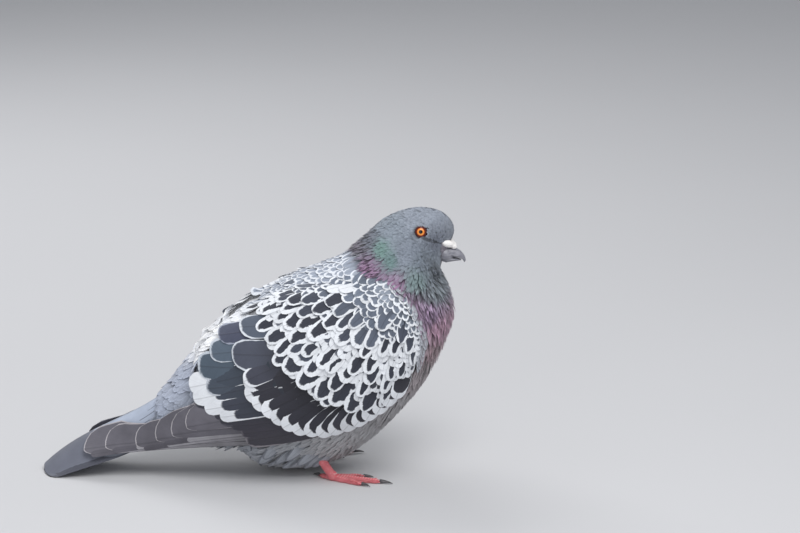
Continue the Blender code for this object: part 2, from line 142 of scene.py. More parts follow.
# Spots on the body: x, z, reach, lie (from +X in the side view), gap between feathers, length, half width,
# how far the tips stand out, colour.
BODY_SPOTS = (
    ("forehead", 127, 158, 8, 104, 0.98, 3.3, 0.68, 0.15, (142, 148, 159)),
    ("brow", 118, 169, 9, 150, 1.11, 3.8, 0.76, 0.15, (150, 157, 169)),
    ("crown", 106, 172, 9, 182, 1.15, 4.1, 0.80, 0.15, (146, 153, 165)),
    ("nape", 89, 166, 9, 205, 1.31, 5.0, 0.88, 0.25, (134, 143, 154)),
    ("lore", 118, 152, 5, 176, 0.90, 2.6, 0.60, 0.1, (122, 128, 141)),
    ("ear", 100, 150, 8, 205, 1.23, 4.3, 0.84, 0.2, (132, 140, 152)),
    ("cheek", 110, 144, 7, 210, 1.15, 4.0, 0.80, 0.2, (126, 135, 146)),
    ("chin", 116, 136, 5, 220, 1.07, 3.8, 0.72, 0.2, (122, 129, 138)),
    ("green", 85, 153, 5, 222, 1.4, 5.6, 0.84, 0.4, (114, 142, 138)),
    ("green_low", 91, 147, 5, 228, 1.45, 5.8, 0.84, 0.4, (108, 132, 132)),
    ("nape_back", 77, 158, 6, 214, 1.55, 6.8, 0.9, 0.6, (104, 108, 119)),
    ("nape_low", 67, 150, 8, 216, 1.7, 7.6, 0.95, 0.8, (96, 86, 100)),
    ("collar", 76, 141, 8, 224, 1.7, 8.0, 0.92, 0.7, (138, 110, 138)),
    ("collar_low", 93, 132, 7, 236, 1.7, 8.0, 0.92, 0.7, (150, 118, 148)),
    ("throat", 104, 136, 7, 248, 1.6, 6.4, 0.86, 0.6, (122, 139, 141)),
    ("throat_front", 116, 127, 6, 268, 1.6, 6.4, 0.86, 0.5, (136, 144, 151)),
    ("bib", 112, 116, 7, 270, 1.8, 7.8, 0.98, 0.6, (156, 134, 160)),
    ("bib_low", 121, 103, 8, 270, 2.2, 10.0, 1.15, 0.7, (172, 136, 156)),
    ("breast", 120, 90, 8, 254, 2.4, 10.5, 1.25, 0.7, (158, 134, 142)),
    ("breast_low", 112, 70, 10, 238, 2.4, 9.5, 1.35, 0.25, (152, 144, 147)),
    ("shoulder", 100, 122, 6, 242, 2.0, 8.0, 1.15, 0.4, (144, 120, 144)),
    ("breast_side", 106, 98, 6, 250, 2.4, 9.5, 1.35, 0.25, (146, 142, 147)),
    ("belly_front", 95, 50, 12, 222, 2.6, 10.0, 1.5, 0.15, (156, 154, 157)),
    ("belly", 66, 30, 16, 204, 2.7, 10.5, 1.6, 0.15, (160, 160, 163)),
    ("belly_back", 30, 16, 14, 192, 2.9, 11.0, 1.7, 0.4, (152, 154, 159)),
    ("thigh", 4, 20, 12, 218, 3.8, 17.0, 1.9, 2.6, (146, 149, 156)),
    ("vent", -30, 20, 16, 190, 3.3, 8.5, 2.4, 0.0, (130, 134, 143)),
    ("undertail", -60, 10, 16, 184, 4.0, 11.0, 3.2, 0.0, (118, 122, 132)),
    ("shoulders_top", 66, 147, 8, 200, 3.0, 9.5, 2.0, 0.3, (150, 156, 168)),
    ("back", 30, 133, 12, 196, 4.2, 11.5, 3.0, 0.3, (168, 175, 188)),
    ("back_low", -2, 108, 9, 206, 4.0, 14.0, 3.4, 0.1, (232, 234, 239)),
    ("rump_white", -20, 94, 9, 214, 4.0, 15.0, 3.6, 0.1, (242, 243, 246)),
    ("rump", -44, 74, 11, 217, 4.6, 14.0, 4.3, 0.2, (165, 172, 188)),
    ("tail_cover", -66, 50, 12, 212, 4.8, 14.0, 4.4, 0.0, (160, 168, 185)),
)
# The body's feathers lie in front of this x. The head's and the neck's lie beyond a least x and above a
# line that slants back and up from an x and z.
COAT_BACK = -70
HEAD_ZONE = (78, 94, 133)
NECK_ZONE = (60, 128, 60)
ZONE_SLOPE = 0.9
# The share of dark feathers on the neck, their shade, and how much paler a feather's rim is.
DARK_SHARE = 0.22
DARK_SHADE = 0.45
RIM_GAIN = 1.16
# What lies this near a wing belongs to it. The body's feathers keep clear of it behind an x and outside half
# the back's width, which halves low down; and clear of the shield and mantle in front of another x. None
# strays further than this from the surface.
WING_REACH = 1.4 * MM
WING_CLEAR = 0.8 * MM
WING_SIDE = 60
WEDGE_HALF = 22
WEDGE_HEIGHT = 60
SHOULDER_FROM = 50
STRAY = 0.8 * MM

# Loose tufts on the flanks, behind the legs: where their tips hang, x and z, how they lie, and their length,
# half widths and colours.
FLANK_TUFTS = (
    (-5, 19), (0, 15), (5, 12), (10, 10), (15, 13), (19, 9), (24, 10), (29, 12), (33, 9), (8, 17),
    (22, 16), (38, 10),
)
FLANK_LIE = 234
FLANK_LENGTH = 20
FLANK_HALVES = (3.2, 4.2)
FLANK_COLOUR = (152, 156, 164)
FLANK_EDGE = (118, 121, 129)

# The shield's feathers lie away from one point by the eye, x and z.
SHIELD_PIVOT = (112, 160)

# Spots on the shield: x, z, reach, gap, length, half width, edge at the tip and at the sides, colour.
SHIELD_SPOTS = (
    ("notch", 84, 126, 6, 3.4, 10, 2.6, 0.7, 0.4, (142, 150, 163)),
    ("scapulars", 60, 129, 9, 5.0, 15, 5.0, 0.8, 0.5, (108, 117, 132)),
    ("scapulars_back", 30, 126, 9, 4.6, 13, 4.2, 1.2, 0.7, (100, 107, 121)),
    ("shield_top", 72, 114, 8, 4.8, 14, 4.6, 0.8, 0.5, (92, 100, 115)),
    ("shield_upper", 48, 112, 9, 5.0, 14, 4.6, 1.8, 0.8, (86, 92, 106)),
    ("shield_back", 14, 112, 9, 4.6, 15, 4.2, 3.6, 1.6, (108, 112, 124)),
    ("shield", 34, 98, 11, 4.8, 15, 4.4, 3.2, 1.4, (92, 97, 110)),
    ("shield_mid", 58, 98, 9, 4.6, 14, 4.4, 4.0, 2.2, (104, 108, 120)),
    ("shield_front", 86, 106, 8, 4.0, 12, 3.5, 1.1, 0.6, (94, 101, 115)),
    ("front_edge", 99, 108, 6, 3.2, 9, 2.4, 0.9, 0.5, (112, 120, 132)),
    ("shield_low", 80, 84, 9, 4.4, 13, 3.8, 4.2, 2.2, (84, 88, 100)),
    ("wrist", 96, 80, 7, 3.6, 11, 3.0, 2.8, 1.4, (76, 80, 92)),
    ("white_row", 50, 82, 9, 4.8, 14, 4.6, 4.8, 2.8, (112, 116, 126)),
    ("last_row", 54, 68, 10, 5.6, 17, 5.0, 3.2, 1.2, (58, 60, 71)),
    ("last_back", 22, 88, 9, 5.2, 17, 4.8, 3.6, 1.8, (72, 76, 88)),
    ("last_front", 84, 62, 8, 4.8, 15, 4.4, 3.4, 1.6, (60, 62, 72)),
)

# Tongues on the shield, dark but for the last two: the middle of each, x and z, its length, its half width,
# and colour.
TONGUES = (
    (-1, 110.9, 5, 1.6, INK), (19.8, 88, 7.6, 2.8, INK), (48.1, 62.6, 5.7, 2.5, INK),
    (9.7, 105.6, 7.6, 3.1, INK), (26.7, 84.1, 8.8, 4.4, INK), (35.5, 75.7, 9.4, 4.7, INK),
    (6.6, 118, 8.2, 1.9, SLATE), (16, 100.4, 8.2, 3.5, INK), (46.2, 68.5, 8.8, 3.8, INK),
    (21.1, 93.9, 7.6, 2.8, INK), (63.9, 58.7, 8.2, 4.1, INK), (55.7, 65.9, 12.6, 4.4, INK),
    (12.9, 114.1, 9.4, 3.1, INK), (72.7, 58.7, 7.6, 3.8, INK), (33, 89.3, 6.9, 3.1, COAL),
    (29.2, 93.9, 8.2, 3.1, COAL), (39.9, 83.5, 8.8, 3.5, INK), (19.8, 110.9, 5.7, 1.9, INK),
    (82.8, 60, 6.9, 2.5, INK), (53.8, 73.7, 7.6, 3.1, INK), (29.9, 101.7, 7.6, 3.1, INK),
    (17.9, 125.2, 6.3, 1.6, COAL), (36.8, 93.9, 5.7, 2.5, INK), (84.1, 63.9, 7.6, 2.5, INK),
    (70.2, 69.1, 6.9, 2.2, INK), (21.1, 121.9, 5, 1.6, COAL), (27.3, 109.6, 8.8, 3.5, INK),
    (24.2, 116.1, 6.3, 2.2, INK), (46.9, 88, 7.6, 3.1, INK), (51.9, 84.8, 6.3, 2.5, INK),
    (60.7, 78.9, 6.9, 2.8, INK), (84.1, 69.8, 5.7, 2.2, INK), (24.8, 125.9, 5, 1.6, SLATE),
    (34.9, 108.9, 7.6, 3.1, INK), (28.6, 121.3, 7.6, 3.1, INK), (75.2, 77.6, 7.6, 2.8, INK),
    (65.8, 84.1, 7.6, 2.8, INK), (34.9, 116.1, 7.6, 2.8, COAL), (42.5, 105, 9.4, 3.5, INK),
    (87.8, 77.6, 4.4, 1.9, INK), (32.4, 127.8, 5.7, 2.2, SLATE), (93.5, 78.5, 4.5, 1.4, INK),
    (75.2, 84.8, 7.6, 2.8, INK), (37.4, 122.6, 6.9, 2.8, COAL), (44.4, 118.7, 7.6, 3.1, INK),
    (58.2, 102.4, 7.6, 2.8, COAL), (51.3, 111.5, 8.2, 3.1, INK), (72.7, 94.6, 6.9, 2.2, INK),
    (101.1, 86.7, 5, 1.6, COAL), (68.3, 101.1, 6.9, 3.5, SLATE), (58.8, 110.9, 7.6, 2.2, COAL),
    (83.4, 94.6, 5.7, 1.9, INK), (51.9, 123.2, 6.9, 3.5, INK), (75.9, 100.4, 6.9, 2.8, SLATE),
    (90.3, 94.6, 5.7, 1.9, INK), (57.6, 118.7, 8.8, 2.8, SLATE), (99.2, 94.6, 5, 1.9, COAL),
    (66.4, 112.2, 6.9, 2.2, SLATE), (94.8, 102.4, 5, 2.2, COAL), (83.4, 111.5, 6.9, 3.1, SLATE),
    (52.5, 129.2, 6, 2.6, WHITE_EDGE), (60.5, 130, 6.5, 2.8, WHITE_EDGE),
)
# A tongue's feather: how far its tip lies past the tongue, gain and addition that make its length and its
# half width from the tongue's, and the share of the white edge at its tip.
TONGUE_EDGE = 2.0
TONGUE_LENGTH = (1.5, 8)
TONGUE_HALF = (1.15, 1.6)
TONGUE_TIP = 0.52

# Outline of the shield's small coverts, and of the pale band in front of them, as x, z.
SHIELD_OUTLINE = (
    (86, 131), (92, 125), (98, 118), (102, 111), (104.5, 103), (105.5, 94), (104, 84), (100, 74), (95, 66),
    (87, 58), (78, 51), (62, 50), (46, 58), (31, 69), (21, 77), (14, 86), (8, 98), (3, 110), (6, 119),
    (22, 129), (40, 134), (60, 135), (80, 132),
)
BAND_OUTLINE = (
    (84, 134), (95, 125), (102.5, 115.5), (107.5, 105), (110, 92), (108, 80), (104, 72), (104, 84),
    (105.5, 94), (104.5, 103), (102, 111), (98, 118), (92, 125),
)
# The band's feathers: gap, length, half width, colours, and lie at a height, which turns as it goes down.
BAND_GAP = 2.7
BAND_SIZE = (6.5, 1.7)
BAND_COLOUR = (168, 171, 179)
BAND_EDGE = (184, 188, 196)
BAND_LIE = 226
BAND_TOP = 132
BAND_TURN = 0.5

# Thin line of painted shadow behind the pale band, laid as dark feathers, as x, z, with its half width and
# colours.
SHADOW_LINE = ((87.5, 132), (90.5, 128), (93.7, 124), (97, 119.5), (99.8, 114.5))
SHADOW_LINE_HALF = 0.3
SHADOW_LINE_COLOUR = (78, 78, 86)
SHADOW_LINE_EDGE = (88, 88, 96)

# Outline of the scalloped shoulders and back, and of the wing's long feathers, as x, z.
MANTLE_OUTLINE = (
    (52, 165), (55, 147), (65, 140.5), (77, 133.5), (85, 129), (80, 131.5), (60, 134), (40, 133),
    (22, 128), (6, 118), (-3, 112), (-6, 118), (-6, 165),
)
LONG_OUTLINE = (
    (14, 88), (4, 108), (-3, 106), (-16, 98), (-28, 82), (-36, 66), (-37, 55), (3, 24), (60, 26), (98, 60),
    (91, 64), (78, 54), (62, 54), (46, 62), (31, 73), (21, 81),
)
# Half the width of the back, and the height above which the mantle lies over the shield's place there.
BACK_HALF = 20
BACK_HEIGHT = 100
# The mantle's feathers: where they end in front, as x + z; gap, lie, length, half widths and colours; and the
# ranges in x and z over which they turn pale.
MANTLE_FRONT = 198
MANTLE_GAP = 4.0
MANTLE_LIE = 198
MANTLE_LENGTH = 13
MANTLE_HALVES = (2.8, 3.8)
MANTLE_COLOUR = (150, 158, 173)
MANTLE_PALE = (206, 210, 218)
MANTLE_EDGE = (222, 226, 233)
PALE_RANGES = ((58, 72), (131, 136))

# The row of greater coverts: tips as x, z; number; lie, length and half width at the first and last; how
# far the roots and tips lie out; and colour.
GREATER_TIPS = (
    (-3, 71), (-2, 61), (7, 54), (15, 47), (25, 40), (44, 36), (62, 41), (77, 49), (90, 60)
)
GREATER_COUNT = 16
GREATER_LIES = (198, 244)
GREATER_LENGTHS = (35, 20)
GREATER_HALVES = (7.2, 5.2)
GREATER_OUTS = (-1.2, 1.3)
GREATER_COLOUR = (50, 50, 59)

# Long feathers, from the lowest to the one on top: tip x, z, lie, length, width above and below the
# shaft, how far out the root and the tip lie, centre, edge, and the edge's width at the tip and sides.
LONG_FEATHERS = (
    (-3, 31, 192, 66, 9.5, 7, -0.9, -0.2, (62, 60, 68), (136, 132, 137), 0.5, 0.35),
    (-5.5, 36.5, 190, 64, 8, 5, -0.8, -0.1, (60, 58, 67), (104, 101, 108), 0.6, 0.4),
    (-12, 41.5, 189, 64, 8, 5, -0.7, 0, (58, 57, 66), (84, 82, 90), 0.5, 0.4),
    (-19, 45, 189, 62, 8, 5, -0.6, 0.1, (57, 57, 66), (78, 77, 86), 0.5, 0.4),
    (-26.5, 48.5, 190, 60, 8, 5, -0.5, 0.2, (58, 58, 68), (84, 83, 92), 0.6, 0.4),
    (-34, 54, 192, 58, 8, 5, -0.4, 0.3, (60, 60, 70), (104, 104, 112), 0.7, 0.5),
    (-18.5, 47.6, 193, 50, 6, 4.2, -0.2, 0.6, (60, 64, 75), WHITE_EDGE, 9.5, 1.0),
    (-28, 51.5, 196, 52, 7, 4.6, 0, 0.8, (62, 66, 78), WHITE_EDGE, 11.5, 0.9),
    (-35, 57, 198, 54, 7.5, 5, 0.2, 1, (64, 70, 82), WHITE_EDGE, 15, 0.9),
    (-37.4, 64, 199, 54, 8, 6, 0.4, 1.2, (66, 74, 86), WHITE_EDGE, 14, 1.0),
    (-26.5, 65, 192, 42, 8, 5, -0.6, 1.4, (70, 78, 90), (190, 195, 204), 1.2, 0.2),
    (-32, 77, 187, 44, 8.5, 8.5, -0.6, 1.7, (78, 90, 103), (188, 195, 204), 0.9, 0.25),
    (-24, 84.5, 195, 36, 8, 5, -0.5, 1.9, (88, 100, 114), (196, 203, 212), 0.8, 0.2),
    (-19, 95, 198, 34, 5, 5.5, -0.5, 2.0, (76, 80, 98), (150, 156, 172), 0.5, 0.2),
    (-2.5, 72.5, 208, 26, 6, 6, -0.6, 2.1, (66, 68, 80), WHITE_EDGE, 2.2, 0.3),
    (-10, 87, 186, 30, 8.5, 10, -0.6, 2.3, (76, 80, 93), (206, 211, 218), 0.8, 0.3),
    (-5.4, 101.5, 194, 25, 5.5, 6.5, -0.6, 2.4, (86, 94, 108), (212, 217, 224), 1.6, 0.2),
)

# The wing's long outer feathers: tip x, z, root z, and widths above and below the shaft.
PRIMARIES = (
    (-107.5, 17.5, 31.4, 14, 4.2),
    (-93.6, 19.8, 36, 13, 4.2),
    (-73.5, 22.5, 38.7, 17, 4.4),
    (-60.2, 27.5, 41.3, 21, 4.6),
    (-49.7, 32, 43, 22, 4.8),
    (-40.1, 38.5, 50, 18, 5.2),
)
# The x of their roots, how far out the middle one lies, how much further each next one does, and their bow.
PRIMARY_ROOT = 10
PRIMARY_OUT = 1.1
PRIMARY_LIFT = 0.34
PRIMARY_BOW = 1.2
PRIMARY_COLOUR = (100, 98, 106)
PRIMARY_EDGE = (178, 174, 178)
# The pale outer webs of the lowest of them: how many, how far over the feather, and how much shorter.
WEB_COUNT = 4
WEB_LIFT = 0.12
WEB_SHORT = 5
WEB_COLOUR = (158, 156, 162)
# The webs' dark edge darkens each web's end. Along its sides it is painted shadow in the gaps between the
# webs.
WEB_END_AND_GAP_SHADOW = (88, 86, 94)

# Tail feathers: pairs, the x of root and tip, how much shorter the outer ones are, how far they spread at
# root and tip, half width, and the widths of the dark end and sides. Then each layer's colour and dark end.
TAIL_PAIRS = 6
TAIL_ROOT = -58
TAIL_TIP = -134.3
TAIL_CURVE = 4
TAIL_SPREADS = (12, 14)
TAIL_HALF = 7
TAIL_BAND = (38, 0.4)
TAIL_TOP = ((172, 181, 198), (108, 111, 123))
TAIL_UNDER = ((138, 143, 155), (80, 82, 92))

# Swellings of the cere on each side: x, y, z, then half length, width and height, forward dip and
# inward turn. The bill's fleshy base is given the same way.
CERE_LOBES = (
    (123.6, 3.9, 149.9, 4.7, 2.4, 2.4, 16, 22),
    (127.0, 2.2, 148.0, 2.5, 2.0, 1.8, 35, 20),
)
BILL_BASE = (122.0, 0.0, 142.4, 5.4, 5.4, 5.2, 24, 0)
CERE_VOXEL = 0.35 * MM
CERE_SMOOTHING = 4

# Each foot: x and y of the ball, and the way it points. Each toe: its lean outwards, and its length.
FEET = {"left": (31.15, 22.5, 12), "right": (50.15, -23.0, -13)}
TOES = (("inner", -21, 20), ("middle", 0, 31), ("outer", 18, 22), ("hind", 205, 9.5))
FOOT_VOXEL = 0.55 * MM
FOOT_SMOOTHING = 3
# The plates on a toe: how far from the ball they start, their spacing, and their length and half width.
SCUTE_START = 1.5
SCUTE_PITCH = 1.7
SCUTE_SIZE = (2.7, 2.0)


def mm(*values):
    """A point given in millimetres."""
    return Vector(values) * MM


def srgb(red, green, blue):
    """A linear colour from everyday values of 0 to 255."""
    levels = []
    for level in (red / 255, green / 255, blue / 255):
        levels.append(level / 12.92 if level <= 0.04045 else ((level + 0.055) / 1.055) ** 2.4)
    return tuple(levels)


def rise(value, start, end):
    """How far a value has come on its way from start to end, from 0 to 1."""
    return np.clip((value - start) / (end - start), 0, 1)


def between(first, last, share):
    return first + (last - first) * share


def turn(x, y=0, z=0):
    """A rotation matrix from angles in degrees."""
    return Euler([math.radians(angle) for angle in (x, y, z)]).to_matrix()


# ---- meshes


def linked(name, data):
    """A new object in the scene."""
    made = bpy.data.objects.new(name, data)
    bpy.context.collection.objects.link(made)
    return made


def smooth_mesh(name, shape):
    """A mesh from a bmesh, smooth on its round faces; the bmesh is used up."""
    mesh = bpy.data.meshes.new(name)
    shape.to_mesh(mesh)
    shape.free()
    mesh.shade_smooth()
    return mesh


def add_piece(name, mesh, material):
    """A finished piece of the model, which rides on the body."""
    piece = linked(name, mesh)
    mesh.materials.append(material)
    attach(piece, "root")
    return piece


def bmesh_piece(name, shape, material):
    return add_piece(name, smooth_mesh(name, shape), material)


def add_attribute(mesh, name, kind, values):
    """A number, vector or opaque colour for each point of a mesh."""
    field = {"FLOAT": "value", "FLOAT_VECTOR": "vector", "FLOAT_COLOR": "color"}[kind]
    if kind == "FLOAT_COLOR":
        values = np.concatenate([values, np.ones((len(values), 1))], axis=1)
    mesh.attributes.new(name, kind, "POINT").data.foreach_set(field, np.ravel(values))


def node_copy(*nodes):
    """The merged faces of some of the frame's nodes."""
    shape = bmesh.new()
    for node in nodes:
        shape.from_mesh(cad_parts[node].data)
    bmesh.ops.remove_doubles(shape, verts=shape.verts, dist=WELD)
    return shape


def tree_of(node):
    """One of the frame's nodes, for finding what is near it."""
    shape = node_copy(node)
    tree = BVHTree.FromBMesh(shape)
    shape.free()
    return tree


def smooth_out(shape, times):
    for _ in range(times):
        bmesh.ops.smooth_vert(
            shape, verts=shape.verts, factor=0.5, use_axis_x=True, use_axis_y=True, use_axis_z=True
        )


def evened(shape, voxel, smoothing):
    """One closed, even, smooth surface over a shape made of several, across their thin gaps."""
    piece = linked("surface", smooth_mesh("surface", shape))
    remesh = piece.modifiers.new("one_surface", "REMESH")
    remesh.mode = "VOXEL"
    remesh.voxel_size = voxel
    evaluated = piece.evaluated_get(bpy.context.evaluated_depsgraph_get())
    shape = bmesh.new()
    shape.from_mesh(bpy.data.meshes.new_from_object(evaluated))
    bpy.data.objects.remove(piece)
    smooth_out(shape, smoothing)
    shape.normal_update()
    return shape


def swollen(shape, distance):
    """Every point moved out along its normal."""
    shape.normal_update()
    for vert in shape.verts:
        vert.co += vert.normal * distance
    shape.normal_update()
    return shape


def narrow_face(shape):
    """The head drawn in towards the bill."""
    points = np.array([vert.co for vert in shape.verts]) / MM
    x, z = points[:, 0], points[:, 2]
    ahead = rise(x, *FACE_RANGE)
    ahead = ahead * ahead * (3 - 2 * ahead)
    above, under = rise(z, *FOREHEAD_RANGE), rise(z, *CHIN_RANGE)
    for vert, share in zip(shape.verts, FACE_NARROWING * ahead * (1 - FOREHEAD_SHARE * above) * (1 - under)):
        vert.co.y *= 1 - share
    shape.normal_update()
    return shape


def eye_axis(side):
    """The middle of an eye and the way it looks, a little upwards."""
    rise_angle = math.radians(EYE_RISE)
    centre = mm(EYE_CENTRE[0], side * EYE_CENTRE[1], EYE_CENTRE[2])
    return centre, Vector((0, side * math.cos(rise_angle), math.sin(rise_angle)))


def eye_offsets(spot):
    """How far a point lies along and beside the line of sight of the eye on its side."""
    centre, axis = eye_axis(1 if spot.y > 0 else -1)
    along = (spot - centre).dot(axis)
    return along, (spot - centre - axis * along).length


def eye_sockets(shape):
    """The surface pressed in round both eyes."""
    for vert in shape.verts:
        along, beside = eye_offsets(vert.co)
        if along > 0 and beside < SOCKET_GAPS[-1] * MM:
            limit = np.interp(beside / MM, SOCKET_GAPS, SOCKET_HEIGHTS) * MM
            if along > limit:
                vert.co -= eye_axis(1 if vert.co.y > 0 else -1)[1] * (along - limit)
    shape.normal_update()
    return shape


class Surface:
    """A surface that vanes are laid on, with its faces' centres for scattering."""

    def __init__(self, shape):
        self.tree = BVHTree.FromBMesh(shape)
        self.centres = np.array([face.calc_center_median() for face in shape.faces])
        self.areas = np.array([face.calc_area() for face in shape.faces])


# ---- vanes


def vane_template(across, along, under):
    """A thin closed leaf: places across (-1 to 1) and along (0 to 1), how much each arches, and faces."""
    shape = bmesh.new()
    bmesh.ops.create_grid(shape, x_segments=across, y_segments=along, size=0.5)
    for vert in shape.verts:
        if abs(vert.co.x) < 0.49:
            vert.co.z = 1
    below = bmesh.ops.create_grid(shape, x_segments=under, y_segments=along, size=0.5)
    turned = {face for vert in below["verts"] for face in vert.link_faces}
    bmesh.ops.reverse_faces(shape, faces=list(turned))
    bmesh.ops.remove_doubles(shape, verts=shape.verts, dist=WELD)
    bmesh.ops.holes_fill(shape, edges=[edge for edge in shape.edges if edge.is_boundary], sides=0)
    bmesh.ops.recalc_face_normals(shape, faces=shape.faces)
    shape.verts.index_update()
    places = np.array([(vert.co.x * 2, vert.co.y + 0.5) for vert in shape.verts])
    arching = np.array([UNDER_ARCH + (1 - UNDER_ARCH) * vert.co.z for vert in shape.verts])
    faces = [[vert.index for vert in face.verts] for face in shape.faces]
    shape.free()
    return places, arching, faces


def edge_spot(surface, spot, side, normal, width):
    """Where a vane's edge lies, beside its shaft."""
    wanted = spot + side * width
    found, turned, _, _ = surface.tree.find_nearest(wanted)
    return found if turned.dot(normal) > EDGE_BEND else wanted


def lay(surface, start, heading, length, half, from_tip=False, steps=VANE_STEPS):
    """Rows of shaft, two edges and outward normal, root first, along a vane that follows the surface.

    The length and half width are in millimetres."""
    spot, normal, _, _ = surface.tree.find_nearest(start)
    back = -1 if from_tip else 1
    way = heading * back
    way = (way - normal * way.dot(normal)).normalized()
    step = length * MM / (steps - 1)
    rows = []
    for _ in range(steps):
        across = (way * back).cross(normal)
        edges = [edge_spot(surface, spot, side, normal, half * MM) for side in (across, -across)]
        rows.append((spot, *edges, normal))
        ahead = spot + way * step
        found, turned, _, _ = surface.tree.find_nearest(ahead)
        if turned.dot(normal) > BEND_LIMIT:
            spot, normal = found, turned
        else:
            spot = ahead
        way = (way - normal * way.dot(normal)).normalized()
    return rows[::back]


SIDE_POWERS = tuple((i, j) for i in range(4) for j in range(4 - i))
TOP_POWERS = tuple((i, j) for i in range(4) for j in (0, 2, 4))
FACE_REACH = 0.3


class Face:
    """A smooth formula for the outer, upper or under face of a flat part, good a little past its edges."""

    def __init__(self, node, side=0, under=False):
        tree = tree_of(node)
        self.side = side
        self.sign = side or (-1 if under else 1)
        self.powers = SIDE_POWERS if side else TOP_POWERS
        low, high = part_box(node)
        spots, depths = [], []
        for x in np.linspace(low.x, high.x, 48):
            for other in np.linspace(low.z if side else low.y, high.z if side else high.y, 32):
                start = self.spot(x, other, self.sign * FACE_REACH)
                found = tree.ray_cast(start, self.spot(0, 0, -self.sign))[0]
                if found is not None:
                    spots.append(self.terms(x, other))
                    depths.append(found.y**2 if side else found.z)
        self.fit = np.linalg.lstsq(np.array(spots), np.array(depths), rcond=None)[0]

    def spot(self, x, other, depth):
        return Vector((x, depth, other)) if self.side else Vector((x, other, depth))

    def terms(self, x, other):
        return [(x * 10) ** i * (other * 10) ** j for i, j in self.powers]

    def depth(self, x, other):
        value = float(np.dot(self.terms(x, other), self.fit))
        return self.side * math.sqrt(max(value, 0.00001)) if self.side else value

    def point(self, place, out):
        """The point over a place in the flat, and the normal there; all in millimetres."""
        x, other = place[0] * MM, place[1] * MM
        slope = (self.depth(x + MM, other) - self.depth(x - MM, other)) / (2 * MM)
        lean = (self.depth(x, other + MM) - self.depth(x, other - MM)) / (2 * MM)
        normal = self.spot(-slope, -lean, 1).normalized() * self.sign
        return self.spot(x, other, self.depth(x, other)) + normal * out * MM, normal


def lay_flat(face, root, tip, above, below, outs=(0.0, 0.0), bow=0.0, steps=14):
    """Rows along a straight stiff vane that lies on a flat part, from root to tip, in millimetres."""
    root, tip = np.array(root, float), np.array(tip, float)
    way = (tip - root) / np.linalg.norm(tip - root)
    up = np.array((way[1], -way[0]))
    rows = []
    for share in np.linspace(0, 1, steps):
        shaft = between(root, tip, share) + up * bow * math.sin(math.pi * share)
        out = between(*outs, share)
        middle, normal = face.point(shaft, out)
        edges = [face.point(place, out)[0] for place in (shaft + up * above, shaft - up * below)]
        rows.append((middle, *edges, normal))
    middle, upper, lower, normal = rows[0]
    if (rows[1][0] - middle).cross(normal).dot(upper - lower) < 0:
        rows = [(middle, lower, upper, normal) for middle, upper, lower, normal in rows]
    return rows


def back_from(tip, lie, length):
    """Where a feather starts whose tip, lie and length are given, in the side view."""
    angle = math.radians(lie)
    return tip[0] - math.cos(angle) * length, tip[1] - math.sin(angle) * length


